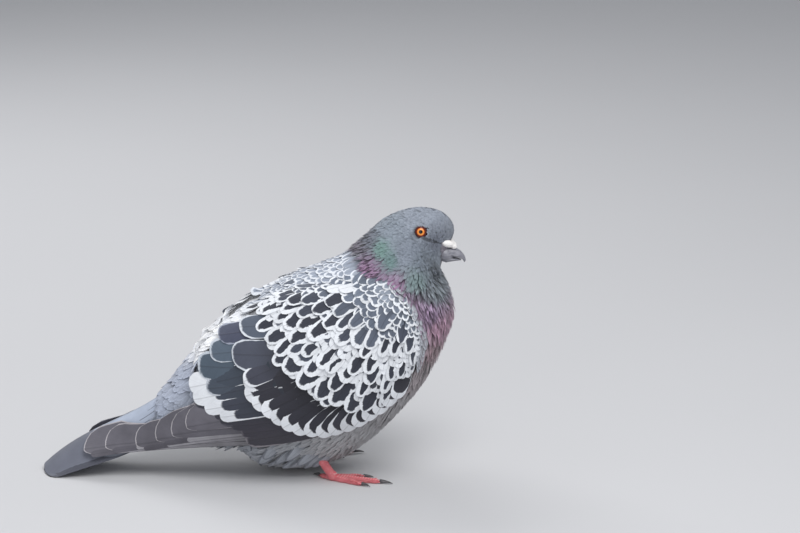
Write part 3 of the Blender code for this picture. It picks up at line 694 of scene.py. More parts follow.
class Coat:
    """Many vanes of one kind that become one piece."""

    def __init__(self, kind):
        self.kind = kind
        across, along, under, *profile = VANE_BUILDS[kind]
        self.camber, self.narrow_root, self.narrow_tip, self.round_tip = profile
        self.places, self.arching, self.faces = vane_template(across, along, under)
        self.rows = []
        self.shape = []
        self.looks = []

    def add(self, rows, lifts, roll, tint, edge, edge_widths):
        """One more vane; lifts are for its root and tip, and edge widths for its tip and sides."""
        length = max(0.5, (rows[-1][0] - rows[0][0]).length / MM)
        half = max(0.3, (rows[len(rows) // 2][1] - rows[len(rows) // 2][2]).length / (2 * MM))
        self.rows.append(rows)
        self.shape.append((*lifts, roll))
        self.looks.append((*tint, *edge, 1 - edge_widths[0] / length, 1 - edge_widths[1] / half))

    def points(self):
        """Every vane's points, as vanes by points by three."""
        rows = np.array(self.rows)
        steps = rows.shape[1]
        shaft, left, right, normal = (rows[:, :, part] for part in range(4))
        normal /= np.linalg.norm(normal, axis=2, keepdims=True)
        across, along = self.places[:, 0], self.places[:, 1]
        length = np.linalg.norm(shaft[:, -1] - shaft[:, 0], axis=1)[:, None]
        half = 0.5 * np.linalg.norm(left[:, steps // 2] - right[:, steps // 2], axis=1)[:, None]
        end = 1 - self.round_tip * half / length * (1 - np.sqrt(1 - (0.985 * across[None]) ** 2))
        reach = along[None] * end
        profile = between(self.narrow_root, 1, np.sin(rise(along, 0, 0.5) * math.pi / 2))
        profile = profile * (1 - (1 - self.narrow_tip) * rise(along, 0.45, 1) ** 2)
        place = np.clip(reach * (steps - 1), 0, steps - 1.0001)
        low = place.astype(int)
        share = (place - low)[..., None]
        vane = np.arange(len(rows))[:, None]

        def at(part):
            return part[vane, low] * (1 - share) + part[vane, low + 1] * share

        middle, normals = at(shaft), at(normal)
        side = across * profile
        points = middle.copy()
        halves = ((at(left) - middle, np.clip(side, 0, None)), (at(right) - middle, np.clip(-side, 0, None)))
        for edge, share_out in halves:
            fall = (edge * normals).sum(axis=2) * (share_out**2 - share_out)
            points += edge * share_out[None, :, None] + normals * fall[..., None]
        points[..., 2] = np.maximum(points[..., 2], FLOOR_GAP)
        root_lift, tip_lift, roll = (np.array(self.shape)[:, part][:, None] for part in range(3))
        height = between(root_lift, tip_lift, reach**1.1)
        arch = self.camber * (1 - across[None] ** 2) * (0.35 + 0.65 * np.sin(math.pi * np.clip(reach, 0, 1)))
        height = height + arch * self.arching + roll * across[None]
        return points + normals * (height * MM)[..., None]

    def piece(self, name, slot, unwrap, patch=PATCH, side_name="", material=None):
        """One joined mesh of all the vanes, with maps for their markings and for their place on the skin."""
        points = self.points()
        vanes, size = points.shape[:2]
        corners = np.concatenate([np.array(face) for face in self.faces])
        counts = np.array([len(face) for face in self.faces])
        loops = (corners[None] + np.arange(vanes)[:, None] * size).ravel()
        starts = np.concatenate([[0], np.cumsum(np.tile(counts, vanes))[:-1]])
        mesh = bpy.data.meshes.new(name)
        mesh.vertices.add(vanes * size)
        mesh.vertices.foreach_set("co", points.ravel())
        mesh.loops.add(len(loops))
        mesh.loops.foreach_set("vertex_index", loops)
        mesh.polygons.add(len(starts))
        mesh.polygons.foreach_set("loop_start", starts)
        mesh.update(calc_edges=True)
        mesh.validate()
        places = (self.places * (0.5, 1.0) + (0.5, 0.0))[corners]
        roots = np.array([rows[0][0] for rows in self.rows])
        centres = patch + unwrap(roots) * (1 - 2 * patch)
        bake = centres[:, None] + (places[None] - 0.5) * patch
        for layer, spots in (("Vane", np.tile(places, (vanes, 1))), ("OFBake", bake)):
            mesh.uv_layers.new(name=layer).data.foreach_set("uv", spots.ravel())
        looks = np.repeat(np.array(self.looks), size, axis=0)
        add_attribute(mesh, "Tint", "FLOAT_COLOR", looks[:, 0:3])
        add_attribute(mesh, "Rim", "FLOAT_COLOR", looks[:, 3:6])
        add_attribute(mesh, "Reach", "FLOAT", looks[:, 6])
        add_attribute(mesh, "Spread", "FLOAT", looks[:, 7])
        mesh.shade_smooth()
        mesh.set_sharp_from_angle(angle=math.radians(70))
        return add_piece(name, mesh, material or feather_material(self.kind, side_name))


# ---- where things lie


def blended(spots, points, columns):
    """Values at each point from the spots near it in the side view."""
    places = np.array([spot[1:3] for spot in spots]) * MM
    reach = np.array([spot[3] for spot in spots]) * MM
    gaps = (points[:, None, 0] - places[None, :, 0]) ** 2 + (points[:, None, 2] - places[None, :, 1]) ** 2
    weights = 1 / (gaps / reach**2 + 0.05) ** 2
    weights /= weights.sum(axis=1, keepdims=True)
    return weights @ np.array([columns(spot) for spot in spots], float)


def lie_of(spot):
    angle = math.radians(spot[4])
    return math.cos(angle), math.sin(angle)


def headings(spots, points):
    """The way feathers lie at each point, in the side view."""
    flat = blended(spots, points, lie_of)
    return [Vector((x, 0, z)).normalized() for x, z in flat]


def flat_way(lie):
    """A direction in the side view, from its angle."""
    return Vector((math.cos(math.radians(lie)), 0, math.sin(math.radians(lie))))


def from_pivot(x, z):
    """The way the shield's feathers lie at a place."""
    return Vector((x - SHIELD_PIVOT[0], 0, z - SHIELD_PIVOT[1])).normalized()


def tilted(way, spread):
    """A direction turned a little at random in the side view."""
    way.rotate(Euler((0, random.normal(0, spread), 0)))
    return way


def inside(outline, points):
    """Which points lie inside an outline in the side view."""
    x, z = points[:, 0] / MM, points[:, 2] / MM
    found = np.zeros(len(points), bool)
    for (x0, z0), (x1, z1) in zip(outline, outline[1:] + outline[:1]):
        crosses = (z0 > z) != (z1 > z)
        with np.errstate(divide="ignore", invalid="ignore"):
            edge = x0 + (z - z0) * (x1 - x0) / (z1 - z0)
        found ^= crosses & (x < edge)
    return found


def in_zone(zone, x, z):
    """Whether a place lies beyond a least x and above a slanting line."""
    least_x, line_x, line_z = zone
    return x > least_x and z > line_z + max(0, line_x - x) * ZONE_SLOPE


def scatter(surface, chosen, gaps):
    """Evenly spaced random places on the chosen faces of a surface."""
    faces = np.nonzero(chosen)[0]
    gaps = gaps[faces] * MM
    chance = surface.areas[faces] / gaps**2
    count = int(chance.sum() * TRIES)
    picks = random.choice(len(faces), size=count, p=chance / chance.sum())
    jitter = random.uniform(-0.5, 0.5, (count, 3)) * SKIN_VOXEL
    spots = surface.centres[faces[picks]] + jitter
    tree = KDTree(count)
    for index, spot in enumerate(spots):
        tree.insert(spot, index)
    tree.balance()
    free = np.ones(count, bool)
    kept = []
    for index in range(count):
        if free[index]:
            kept.append(index)
            for _, other, _ in tree.find_range(spots[index], gaps[picks[index]] * SPACING):
                free[other] = False
    return spots[kept]


def near(points, trees, distance):
    """Which points lie within a distance of any of some trees."""
    return np.array([any(tree.find_nearest(point, distance)[0] for tree in trees) for point in points])


def even_places(outline, count):
    """Places at even steps along a line of points in the side view."""
    line = np.array(outline, float)
    steps = np.concatenate([[0], np.cumsum(np.hypot(*np.diff(line, axis=0).T))])
    wanted = np.linspace(0, steps[-1], count)
    return np.stack([np.interp(wanted, steps, line[:, 0]), np.interp(wanted, steps, line[:, 1])], axis=1)


def on_outside(surface, x, z, side):
    """The point of a surface straight in from one side of the bird."""
    found = surface.tree.ray_cast(mm(x, side * 90, z), Vector((0, -side, 0)))[0]
    return found if found is not None else mm(x, side * 30, z)


def around_axis(start, end):
    """An unwrap round a long axis: along it, and round it."""
    base = np.array(mm(*start))
    axis = np.array(mm(*end)) - base
    length = np.linalg.norm(axis)
    axis /= length
    across = np.array((0.0, 1.0, 0.0))
    up = np.cross(across, axis)

    def unwrap(points):
        offset = points - base
        along = offset @ axis / length
        round_it = np.arctan2(offset @ across, -(offset @ up)) / math.tau + 0.5
        return np.clip(np.stack([along, round_it], axis=1), 0, 1)

    return unwrap


def flat_side(low, high):
    """An unwrap of a flat wing, laid open on its outer face."""
    start, end = np.array(mm(*low)), np.array(mm(*high))

    def unwrap(points):
        share = (points - start) / max(end - start)
        return np.clip(share[:, [0, 2]], 0, 1)

    return unwrap


BODY_WRAP = around_axis((-140, 0, 40), (135, 0, 90))
NECK_WRAP = around_axis((70, 0, 60), (112, 0, 176))
WING_WRAP = flat_side((-120, 0, 8), (115, 0, 140))


# ---- materials


class Nodes:
    """Short ways to add and join shader nodes."""

    def __init__(self, tree, shader):
        self.tree = tree
        self.shader = shader

    def plug(self, socket, value):
        if isinstance(value, bpy.types.NodeSocket):
            self.tree.links.new(value, socket)
        elif isinstance(value, tuple) and len(value) == 3 and socket.type == "RGBA":
            socket.default_value = (*value, 1)
        else:
            socket.default_value = value

    def add(self, kind, inputs, output=0, **settings):
        """One output of a new node, from its settings and what goes into it."""
        node = self.tree.nodes.new("ShaderNode" + kind)
        for setting, value in settings.items():
            setattr(node, setting, value)
        for socket, value in inputs.items():
            self.plug(node.inputs[socket], value)
        return node.outputs[output]

    def math(self, operation, *values):
        return self.add("Math", dict(enumerate(values)), operation=operation)

    def mix(self, share, first, second, blend="MIX"):
        return self.add("Mix", {0: share, 6: first, 7: second}, 2, data_type="RGBA", blend_type=blend)

    def shaded(self, colour, shade):
        """A colour made darker or lighter by a number."""
        return self.mix(1.0, colour, self.vector(shade, shade, shade), "MULTIPLY")

    def ramp(self, value, low, high, start=0.0, end=1.0):
        """A smooth step from start to end as the value goes from low to high."""
        inputs = dict(enumerate((value, low, high, start, end)))
        return self.add("MapRange", inputs, interpolation_type="SMOOTHSTEP")

    def attribute(self, name, output="Color"):
        return self.add("Attribute", {}, output, attribute_name=name)

    def place(self):
        return self.add("TexCoord", {}, "Object")

    def parts(self, vector):
        return self.add("SeparateXYZ", {0: vector}, slice(3))

    def vane_place(self):
        """How far across and along a vane a place lies."""
        return self.parts(self.add("UVMap", {}, uv_map="Vane"))[:2]

    def vector(self, x, y, z=0.0):
        return self.add("CombineXYZ", {0: x, 1: y, 2: z})

    def noise(self, where, scale, detail=2.0, rough=0.5):
        return self.add("TexNoise", {"Vector": where, "Scale": scale, "Detail": detail, "Roughness": rough})

    def cells(self, where, scale, feature="DISTANCE_TO_EDGE"):
        return self.add("TexVoronoi", {"Vector": where, "Scale": scale}, feature=feature)

    def colour(self, value):
        self.plug(self.shader.inputs["Base Color"], value)

    def bump(self, height, distance, strength=1.0):
        bumped = self.add("Bump", {"Strength": strength, "Distance": distance, "Height": height})
        self.plug(self.shader.inputs["Normal"], bumped)


def new_material(name, roughness, specular=0.4, sheen=0.0, coat=0.0, coat_roughness=0.1, metallic=0.0):
    """A material and its node maker; the even values sit on the shader's own sockets."""
    material = bpy.data.materials.new(name)
    material.use_nodes = True
    shader = material.node_tree.nodes["Principled BSDF"]
    values = {
        "Roughness": roughness, "Specular IOR Level": specular, "Metallic": metallic,
        "Sheen Weight": sheen, "Sheen Roughness": 0.4, "Coat Weight": coat, "Coat Roughness": coat_roughness,
    }
    for socket, value in values.items():
        shader.inputs[socket].default_value = value
    return material, Nodes(material.node_tree, shader)


def feather_material(kind, side_name):
    """A vane with a coloured centre, an edge of another colour, a shaft, fine slanting barbs and painted
    shade at its root.
    """
    power, barbs, streak, fray, roughness, sheen, metallic, shaft, warp, mottle, painted_root_shade = VANE_LOOKS[kind]
    name = f"{kind}_vanes_{side_name}".rstrip("_")
    material, nodes = new_material(name, roughness, specular=0.3, sheen=sheen, metallic=metallic)
    across, along = nodes.vane_place()
    centred = nodes.math("MULTIPLY_ADD", across, 2.0, -1.0)
    side = nodes.math("ABSOLUTE", centred)
    slant = nodes.math("SUBTRACT", along, nodes.math("MULTIPLY", side, 0.32))
    wobble = nodes.noise(nodes.place(), 260, 2)
    barb = nodes.vector(nodes.math("MULTIPLY", slant, barbs), nodes.math("MULTIPLY", across, 2.2), wobble)
    lines = nodes.noise(barb, 1, 2, 0.7)
    sway = nodes.math("MULTIPLY_ADD", nodes.noise(nodes.place(), 150, 1), 2 * warp, -warp)
    aside = nodes.math("ABSOLUTE", nodes.math("ADD", centred, sway))
    wide = nodes.math("POWER", nodes.math("DIVIDE", aside, nodes.attribute("Spread", "Fac")), power)
    onward = nodes.math("MULTIPLY_ADD", sway, -0.4, along)
    far = nodes.math("POWER", nodes.math("DIVIDE", onward, nodes.attribute("Reach", "Fac")), power)
    ragged = nodes.math("MULTIPLY_ADD", lines, fray, -0.5 * fray)
    edge = nodes.math("ADD", nodes.math("ADD", wide, far), ragged)
    colour = nodes.mix(nodes.ramp(edge, 0.88, 1.12), nodes.attribute("Tint"), nodes.attribute("Rim"))
    shade = nodes.math("MULTIPLY_ADD", nodes.math("SUBTRACT", lines, 0.5), streak, 1.0)
    cloud = nodes.math("SUBTRACT", nodes.noise(nodes.place(), 85, 3), 0.5)
    shade = nodes.math("ADD", shade, nodes.math("MULTIPLY", cloud, mottle * 2))
    # Painted shade: darker towards the root, where the feathers laid over it would shade it.
    shade = nodes.math("MULTIPLY", shade, nodes.ramp(along, 0.0, 0.7, painted_root_shade, 1.0))
    quill = nodes.ramp(side, 0.0, 0.09, shaft, 0.0)
    nodes.colour(nodes.mix(quill, nodes.shaded(colour, shade), srgb(*SHAFT_COLOUR)))
    ridge = nodes.ramp(side, 0.0, 0.12, 1.0, 0.0)
    nodes.bump(nodes.math("ADD", lines, nodes.math("MULTIPLY", ridge, 0.8)), 0.0003, 0.5)
    return material


def skin_material():
    """The skin and down between the feathers, in the same colours as the coat over it, darkened as painted
    shade for the gaps between the feathers.
    """
    material, nodes = new_material("shaded_down", 0.9, specular=0.1)
    down = nodes.noise(nodes.place(), 900, 3)
    # Painted shade: the coat's colour at a third to a half of its brightness, uneven like down.
    nodes.colour(nodes.shaded(nodes.attribute("Tint"), nodes.ramp(down, 0.3, 0.7, 0.30, 0.55)))
    nodes.bump(down, 0.0004, 0.6)
    return material


def eye_material():
    """Black pupil, orange iris with a red outer ring, wet surface, centred on each eye's line of sight."""
    material, nodes = new_material("eye_wet", 0.08, specular=0.25, coat=0.35, coat_roughness=0.02)
    x, _, z = nodes.parts(nodes.attribute("Iris", "Vector"))
    radius = nodes.math("SQRT", nodes.math("ADD", nodes.math("POWER", x, 2.0), nodes.math("POWER", z, 2.0)))
    angle = nodes.math("ARCTAN2", z, x)
    rays = nodes.vector(nodes.math("MULTIPLY", angle, 9.0), nodes.math("MULTIPLY", radius, 300.0))
    orange = nodes.mix(nodes.noise(rays, 1.6, 3), srgb(222, 110, 30), srgb(250, 172, 78))
    colour = nodes.mix(nodes.ramp(radius, 2.0 * MM, 2.5 * MM), orange, srgb(150, 44, 18))
    colour = nodes.mix(nodes.ramp(radius, 2.5 * MM, 2.8 * MM), colour, srgb(52, 18, 12))
    nodes.colour(nodes.mix(nodes.ramp(radius, 1.14 * MM, 1.26 * MM), srgb(8, 7, 8), colour))
    return material


def lid_material():
    """Beaded red-brown skin round the eye."""
    material, nodes = new_material("lid_skin", 0.5, specular=0.4)
    beads = nodes.cells(nodes.place(), 1900, "F1")
    nodes.colour(nodes.mix(nodes.ramp(beads, 0.1, 0.6), srgb(128, 52, 40), srgb(58, 22, 20)))
    nodes.bump(nodes.ramp(beads, 0.0, 0.6, 1.0, 0.0), 0.00025, 0.8)
    return material


def cere_material():
    """Chalky white skin over the nostrils."""
    material, nodes = new_material("cere_chalk", 0.75, specular=0.25)
    powder = nodes.noise(nodes.place(), 1500, 4, 0.6)
    folds = nodes.noise(nodes.place(), 420, 2)
    colour = nodes.mix(nodes.ramp(powder, 0.35, 0.7), srgb(234, 230, 227), srgb(253, 251, 249))
    nodes.colour(nodes.mix(nodes.ramp(folds, 0.60, 0.75), colour, srgb(220, 213, 211)))
    nodes.bump(nodes.math("ADD", powder, nodes.math("MULTIPLY", folds, 2.0)), 0.0003, 0.5)
    return material


def horn_material(name, dark, light, scale):
    """Grown horn: long fine streaks, a soft gloss and a few flakes."""
    material, nodes = new_material(name, 0.42, specular=0.45, coat=0.08, coat_roughness=0.3)
    stretch = {"Vector": nodes.place(), "Scale": (0.35, 1.0, 1.0), "Rotation": (0, math.radians(40), 0)}
    grain = nodes.noise(nodes.add("Mapping", stretch), scale, 4, 0.65)
    nodes.colour(nodes.mix(nodes.ramp(grain, 0.35, 0.68), dark, light))
    nodes.bump(grain, 0.0002, 0.6)
    return material


def foot_material(name):
    """Rosy scaled skin, paler where dust lies between the scales."""
    material, nodes = new_material(name, 0.5, specular=0.4)
    scales = nodes.cells(nodes.place(), 1400)
    flush = nodes.mix(nodes.noise(nodes.place(), 240, 3), srgb(196, 78, 92), srgb(228, 122, 128))
    nodes.colour(nodes.mix(nodes.ramp(scales, 0.0, 0.07, 0.5, 0.0), flush, srgb(238, 212, 206)))
    nodes.bump(nodes.ramp(scales, 0.0, 0.2), 0.0003, 0.7)
    return material


def scute_material():
    """Broad plates over the toes, with a pale worn edge."""
    material, nodes = new_material("scutes", 0.45, specular=0.45)
    _, along = nodes.vane_place()
    flush = nodes.mix(nodes.noise(nodes.place(), 300, 3), srgb(204, 84, 98), srgb(232, 128, 134))
    edge = nodes.ramp(along, 0.72, 0.98)
    nodes.colour(nodes.mix(nodes.math("MULTIPLY", edge, 0.75), flush, srgb(240, 214, 208)))
    nodes.bump(nodes.noise(nodes.place(), 900, 3), 0.0002, 0.5)
    return material


def plain_material(name, colour, roughness, scale):
    """Matt paint with a very slight unevenness."""
    material, nodes = new_material(name, roughness, specular=0.2)
    uneven = nodes.noise(nodes.place(), scale, 2)
    nodes.colour(nodes.mix(uneven, tuple(level * 0.97 for level in colour), colour))
    return material


# ---- skin


def coat_depth(points):
    """How deep the coat lies over the skin, shallow on the head."""
    x, z = points[:, 0] / MM, points[:, 2] / MM
    depth = between(BODY_COAT, HEAD_COAT, rise(z, 128, 142) * rise(x, 74, 88))
    return between(depth, TAIL_COAT, rise(x, -58, -70))


def tints_at(points):
    return blended(BODY_SPOTS, points, lambda spot: srgb(*spot[9]))


def bare_face(points):
    """Places on the head's surface that the bill and the cere leave bare."""
    x, z = points[:, 0] / MM, points[:, 2] / MM
    return (x > BILL_START) & (z > BILL_HEIGHTS[0]) & (z < BILL_HEIGHTS[1])


def skin(shape):
    """One skin inside the coat, from bill to tail, in the coat's own colours."""
    inner = shape.copy()
    inner.normal_update()
    tree = BVHTree.FromBMesh(inner)
    points = np.array([vert.co for vert in inner.verts])
    moved = []
    for vert, depth in zip(inner.verts, coat_depth(points)):
        thick = tree.ray_cast(vert.co - vert.normal * 0.3 * MM, -vert.normal)[3]
        moved.append(vert.co - vert.normal * min(float(depth) * MM, THIN_SHARE * (thick or 1)))
    faces = Face("tail"), Face("tail", under=True)
    for vert, spot in zip(inner.verts, moved):
        vert.co = spot
        share = float(rise(spot.x / MM, *TAIL_RANGE))
        if share > 0:
            vert.co.y *= 1 - TAIL_NARROWING * share
            for face in faces:
                vert.co.z += 0.5 * share * (face.depth(spot.x, vert.co.y) - face.depth(spot.x, spot.y))
    smooth_out(inner, 2)
    mesh = smooth_mesh("skin", inner)
    tints = tints_at(points)
    # The bare face is made brighter here, so that the skin's painted shade leaves it near its own colour.
    tints[bare_face(points)] = np.array(srgb(*FACE_SKIN)) * 2.2
    add_attribute(mesh, "Tint", "FLOAT_COLOR", tints)
    piece = add_piece("skin", mesh, skin_material())
    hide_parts(*FLESH)


# ---- coat


def varied(colour, spread):
    """A linear colour a little lighter or darker than it is given."""
    return tuple(np.clip(np.array(colour) * (1 + random.normal(0, spread)), 0, 1))


def painted(colour, spread):
    """The same for an everyday colour."""
    return varied(srgb(*colour), spread)


def on_lore(x, z):
    """Whether a place lies on the dark line from the eye to the bill."""
    start, end = np.array(LORE)
    share = np.clip((np.array((x, z)) - start) @ (end - start) / ((end - start) @ (end - start)), 0, 1)
    return np.linalg.norm(np.array((x, z)) - start - share * (end - start)) < LORE_WIDTH


def out_of_place(surface, rows, spot, wings):
    """Whether a body feather touches an eye or a wing, leaves the skin, or covers the shield or mantle."""
    if min(eye_offsets(row[part])[1] for row in rows for part in range(3)) < LID_CLEAR * MM:
        return True
    x, y, z = spot / MM
    ends = np.array([rows[part][0] for part in (2, -1)])
    wedge = WEDGE_HALF if z > WEDGE_HEIGHT else WEDGE_HALF / 2
    if x < WING_SIDE and abs(y) > wedge and near(ends, wings, WING_CLEAR).any():
        return True
    if surface.tree.find_nearest(rows[-1][0])[3] > STRAY:
        return True
    middle, end = np.array([rows[3][0]]), np.array([rows[-1][0]])
    over = inside(MANTLE_OUTLINE, middle) | inside(SHIELD_OUTLINE, middle) | inside(SHIELD_OUTLINE, end)
    return x > SHOULDER_FROM and over[0]


def body_coat(surface, covered, wings):
    """Small feathers of the head, neck, breast, belly, back and rump."""
    points = surface.centres
    gaps = blended(BODY_SPOTS, points, lambda spot: spot[5:9])[:, 0]
    bare = np.array([eye_offsets(Vector(point))[1] < LID_BARE * MM for point in points])
    bare |= bare_face(points)
    coats = {kind: Coat(kind) for kind in ("head", "neck", "body")}
    spots = scatter(surface, ~covered & ~bare & (points[:, 0] / MM > COAT_BACK), gaps)
    sizes = blended(BODY_SPOTS, spots, lambda spot: spot[5:9])
    places = zip(spots, headings(BODY_SPOTS, spots), sizes, tints_at(spots), coat_depth(spots))
    for spot, way, size, tint, depth in places:
        gap, length, half, stand = (float(value) for value in size)
        x, _, z = spot / MM
        kind = "head" if in_zone(HEAD_ZONE, x, z) else "neck" if in_zone(NECK_ZONE, x, z) else "body"
        uneven = 0.22 if kind == "neck" else 0.06
        if kind == "neck" and random.random() < DARK_SHARE:
            tint = tint * DARK_SHADE
        if on_lore(x, z):
            tint = tint * LORE_SHADE
        way = tilted(way, 0.10 + uneven / 2)
        length *= random.uniform(0.85, 1.15)
        rows = lay(surface, Vector(spot), way, length, half, steps=6)
        if out_of_place(surface, rows, spot, wings):
            continue
        lift = 0.1 + stand * random.uniform(0, 1.2)
        tint = varied(tint, uneven)
        edge = tuple(np.clip(np.array(tint) * RIM_GAIN, 0, 1))
        thin = 0.12 * gap
        coats[kind].add(rows, (-0.8 * depth, lift), random.normal(0, 0.12), tint, edge, (thin, thin))
    for side in (-1, 1):
        for x, z in FLANK_TUFTS:
            way = flat_way(FLANK_LIE + random.normal(0, 7))
            half = random.uniform(*FLANK_HALVES)
            tip = on_outside(surface, x, z, side)
            rows = lay(surface, tip, way, FLANK_LENGTH, half, from_tip=True, steps=6)
            tint = painted(FLANK_COLOUR, 0.08)
            coats["body"].add(rows, (-1.5, 2.4), random.normal(0, 0.3), tint, srgb(*FLANK_EDGE), (0.9, 0.6))
    coats["head"].piece("coat_head", "head_plumage", NECK_WRAP)
    coats["neck"].piece("coat_neck", "neck_plumage", NECK_WRAP)
    coats["body"].piece("coat_body", "body_plumage", BODY_WRAP)


def small_coverts(coat, surface, chosen):
    """The shield's small white-edged feathers."""
    gaps = blended(SHIELD_SPOTS, surface.centres, lambda spot: (spot[4],))[:, 0]
    tips = scatter(surface, chosen, gaps)
    values = blended(SHIELD_SPOTS, tips, lambda spot: (*spot[5:9], *srgb(*spot[9])))
    for tip, value in zip(tips, values):
        length, half, tip_edge, side_edge = (float(number) for number in value[:4])
        way = tilted(from_pivot(tip[0] / MM, tip[2] / MM), 0.10)
        rows = lay(surface, Vector(tip), way, length * random.uniform(0.92, 1.08), half, from_tip=True)
        edges = (tip_edge * random.uniform(0.8, 1.2), side_edge * random.uniform(0.8, 1.2))
        tint, white = varied(value[4:7], 0.10), painted(WHITE_EDGE, 0.06)
        coat.add(rows, (-2.0, random.uniform(-0.2, 0.3)), random.normal(0, 0.15), tint, white, edges)


def tongues(coat, surface, side):
    """The larger feathers with dark tongues, over the small ones."""
    places = np.array([mm(x, 0, z) for x, z, *_ in TONGUES])
    edge_widths = blended(SHIELD_SPOTS, places, lambda spot: spot[7:9])
    for (x, z, length, half, tint), (tip_edge, side_edge) in zip(TONGUES, edge_widths):
        way = from_pivot(x, z)
        tip = Vector((x, 0, z)) + way * (length / 2 + TONGUE_EDGE)
        start = on_outside(surface, tip.x, tip.z, side)
        whole = length * TONGUE_LENGTH[0] + TONGUE_LENGTH[1]
        rows = lay(surface, start, way, whole, half * TONGUE_HALF[0] + TONGUE_HALF[1], from_tip=True)
        white = painted(WHITE_EDGE, 0.04)
        edges = (tip_edge * TONGUE_TIP * random.uniform(0.7, 1.35), side_edge * random.uniform(0.7, 1.35))
        coat.add(rows, (-1.3, 1.1), random.normal(0, 0.15), painted(tint, 0.06), white, edges)


def pale_band(coat, surface, chosen, side):
    """The band of small pale feathers in front of the shield, and the line of painted shadow behind it."""
    for tip in scatter(surface, chosen, np.full(len(surface.centres), BAND_GAP)):
        way = flat_way(BAND_LIE + (BAND_TOP - tip[2] / MM) * BAND_TURN)
        rows = lay(surface, Vector(tip), way, *BAND_SIZE, from_tip=True)
        tint = painted(BAND_COLOUR, 0.05)
        coat.add(rows, (-1.5, 0.15), 0.0, tint, painted(BAND_EDGE, 0.03), (0.6, 0.4))
    # Dark feathers laid along a line, as painted shadow behind the band.
    for start, end in zip(SHADOW_LINE, SHADOW_LINE[1:]):
        way = Vector((end[0] - start[0], 0, end[1] - start[1]))
        spot = on_outside(surface, *start, side)
        rows = lay(surface, spot, way.normalized(), way.length + 2.5, SHADOW_LINE_HALF)
        coat.add(rows, (-0.1, 0.1), 0.0, srgb(*SHADOW_LINE_COLOUR), srgb(*SHADOW_LINE_EDGE), (0.2, 0.1))


def wing_coverts(surface, shield, band, side_name, side):
    """The shield's small coverts, the dark tongues over them, and the pale band in front."""
    on_side = surface.centres[:, 1] * side > 0
    coat = Coat("covert")
    small_coverts(coat, surface, shield & on_side)
    tongues(coat, surface, side)
    pale_band(coat, surface, band & on_side, side)
    coat.piece("coverts_" + side_name, "wing_plumage", WING_WRAP, 0.012, side_name)


def mantle(surface, chosen):
    """Pale scalloped feathers over the shoulders and back."""
    coat = Coat("mantle")
    for tip in scatter(surface, chosen, np.full(len(surface.centres), MANTLE_GAP)):
        x, _, z = tip / MM
        if x + z > MANTLE_FRONT:
            continue
        pale = float(rise(x, *PALE_RANGES[0]) * rise(z, *PALE_RANGES[1]))
        way = flat_way(MANTLE_LIE + random.normal(0, 8))
        rows = lay(surface, Vector(tip), way, MANTLE_LENGTH, random.uniform(*MANTLE_HALVES), from_tip=True)
        tint = np.array(srgb(*MANTLE_COLOUR)) * (1 - pale) + np.array(srgb(*MANTLE_PALE)) * pale
        tint, white = varied(tint, 0.07), painted(MANTLE_EDGE, 0.04)
        edges = (random.uniform(0.6, 1.4), random.uniform(0.3, 0.7))
        coat.add(rows, (-2.0, random.uniform(0, 0.5)), random.normal(0, 0.15), tint, white, edges)
    coat.piece("mantle", "body_plumage", BODY_WRAP, 0.004)


def greater_coverts(coat, face):
    """The row of long dark coverts with white ends, below the shield."""
    for share, tip in zip(np.linspace(0, 1, GREATER_COUNT), even_places(GREATER_TIPS, GREATER_COUNT)):
        lie = between(*GREATER_LIES, share) + random.normal(0, 1.2)
        half = between(*GREATER_HALVES, share)
        outs = (GREATER_OUTS[0], GREATER_OUTS[1] + random.uniform(0, 0.2))
        root = back_from(tip, lie, between(*GREATER_LENGTHS, share))
        rows = lay_flat(face, root, tip, half, half, outs)
        white = painted(WHITE_EDGE, 0.05)
        tint = painted(GREATER_COLOUR, 0.08)
        coat.add(rows, (0.0, 0.0), 0.0, tint, white, (random.uniform(4.4, 6.0), 0.25))


def flight_feathers(face, side_name):
    """Secondaries, white-tipped inner feathers, tertials and greater coverts of one wing."""
    coat = Coat("long")
    for x, z, lie, length, above, below, root_out, tip_out, tint, edge, tip_edge, side_edge in LONG_FEATHERS:
        rows = lay_flat(face, back_from((x, z), lie, length), (x, z), above, below, (root_out, tip_out))
        coat.add(rows, (0.0, 0.0), 0.0, srgb(*tint), srgb(*edge), (tip_edge, side_edge))
    greater_coverts(coat, face)
    coat.piece("flight_feathers_" + side_name, "flight_plumage", WING_WRAP, 0.03, side_name)


def primaries(side_name, side):
    """The fan of long outer feathers, each on top of the next one out."""
    face = Face("primaries_" + side_name, side)
    coat = Coat("primary")

    def add(root, tip, above, below, out, tint, edge, edge_widths):
        rows = lay_flat(face, root, tip, above, below, (out, out), PRIMARY_BOW, 24)
        coat.add(rows, (0.0, 0.0), 0.0, painted(tint, 0.05), srgb(*edge), edge_widths)

    for order, (x, z, root_z, above, below) in enumerate(PRIMARIES):
        out = (order - 2.5) * PRIMARY_LIFT + PRIMARY_OUT
        add((PRIMARY_ROOT, root_z), (x, z), above, below, out, PRIMARY_COLOUR, PRIMARY_EDGE, (0.6, 0.45))
        if order < WEB_COUNT:
            web = below / 2
            root, tip = (PRIMARY_ROOT, root_z - web), (x + WEB_SHORT, z - web)
            # Each web's thin dark sides are painted shadow between the webs.
            add(root, tip, web, web, out + WEB_LIFT, WEB_COLOUR, WEB_END_AND_GAP_SHADOW, (16, 0.35))
    piece = coat.piece("primary_fan_" + side_name, "flight_plumage", WING_WRAP, 0.05, side_name)
    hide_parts("primaries_" + side_name)


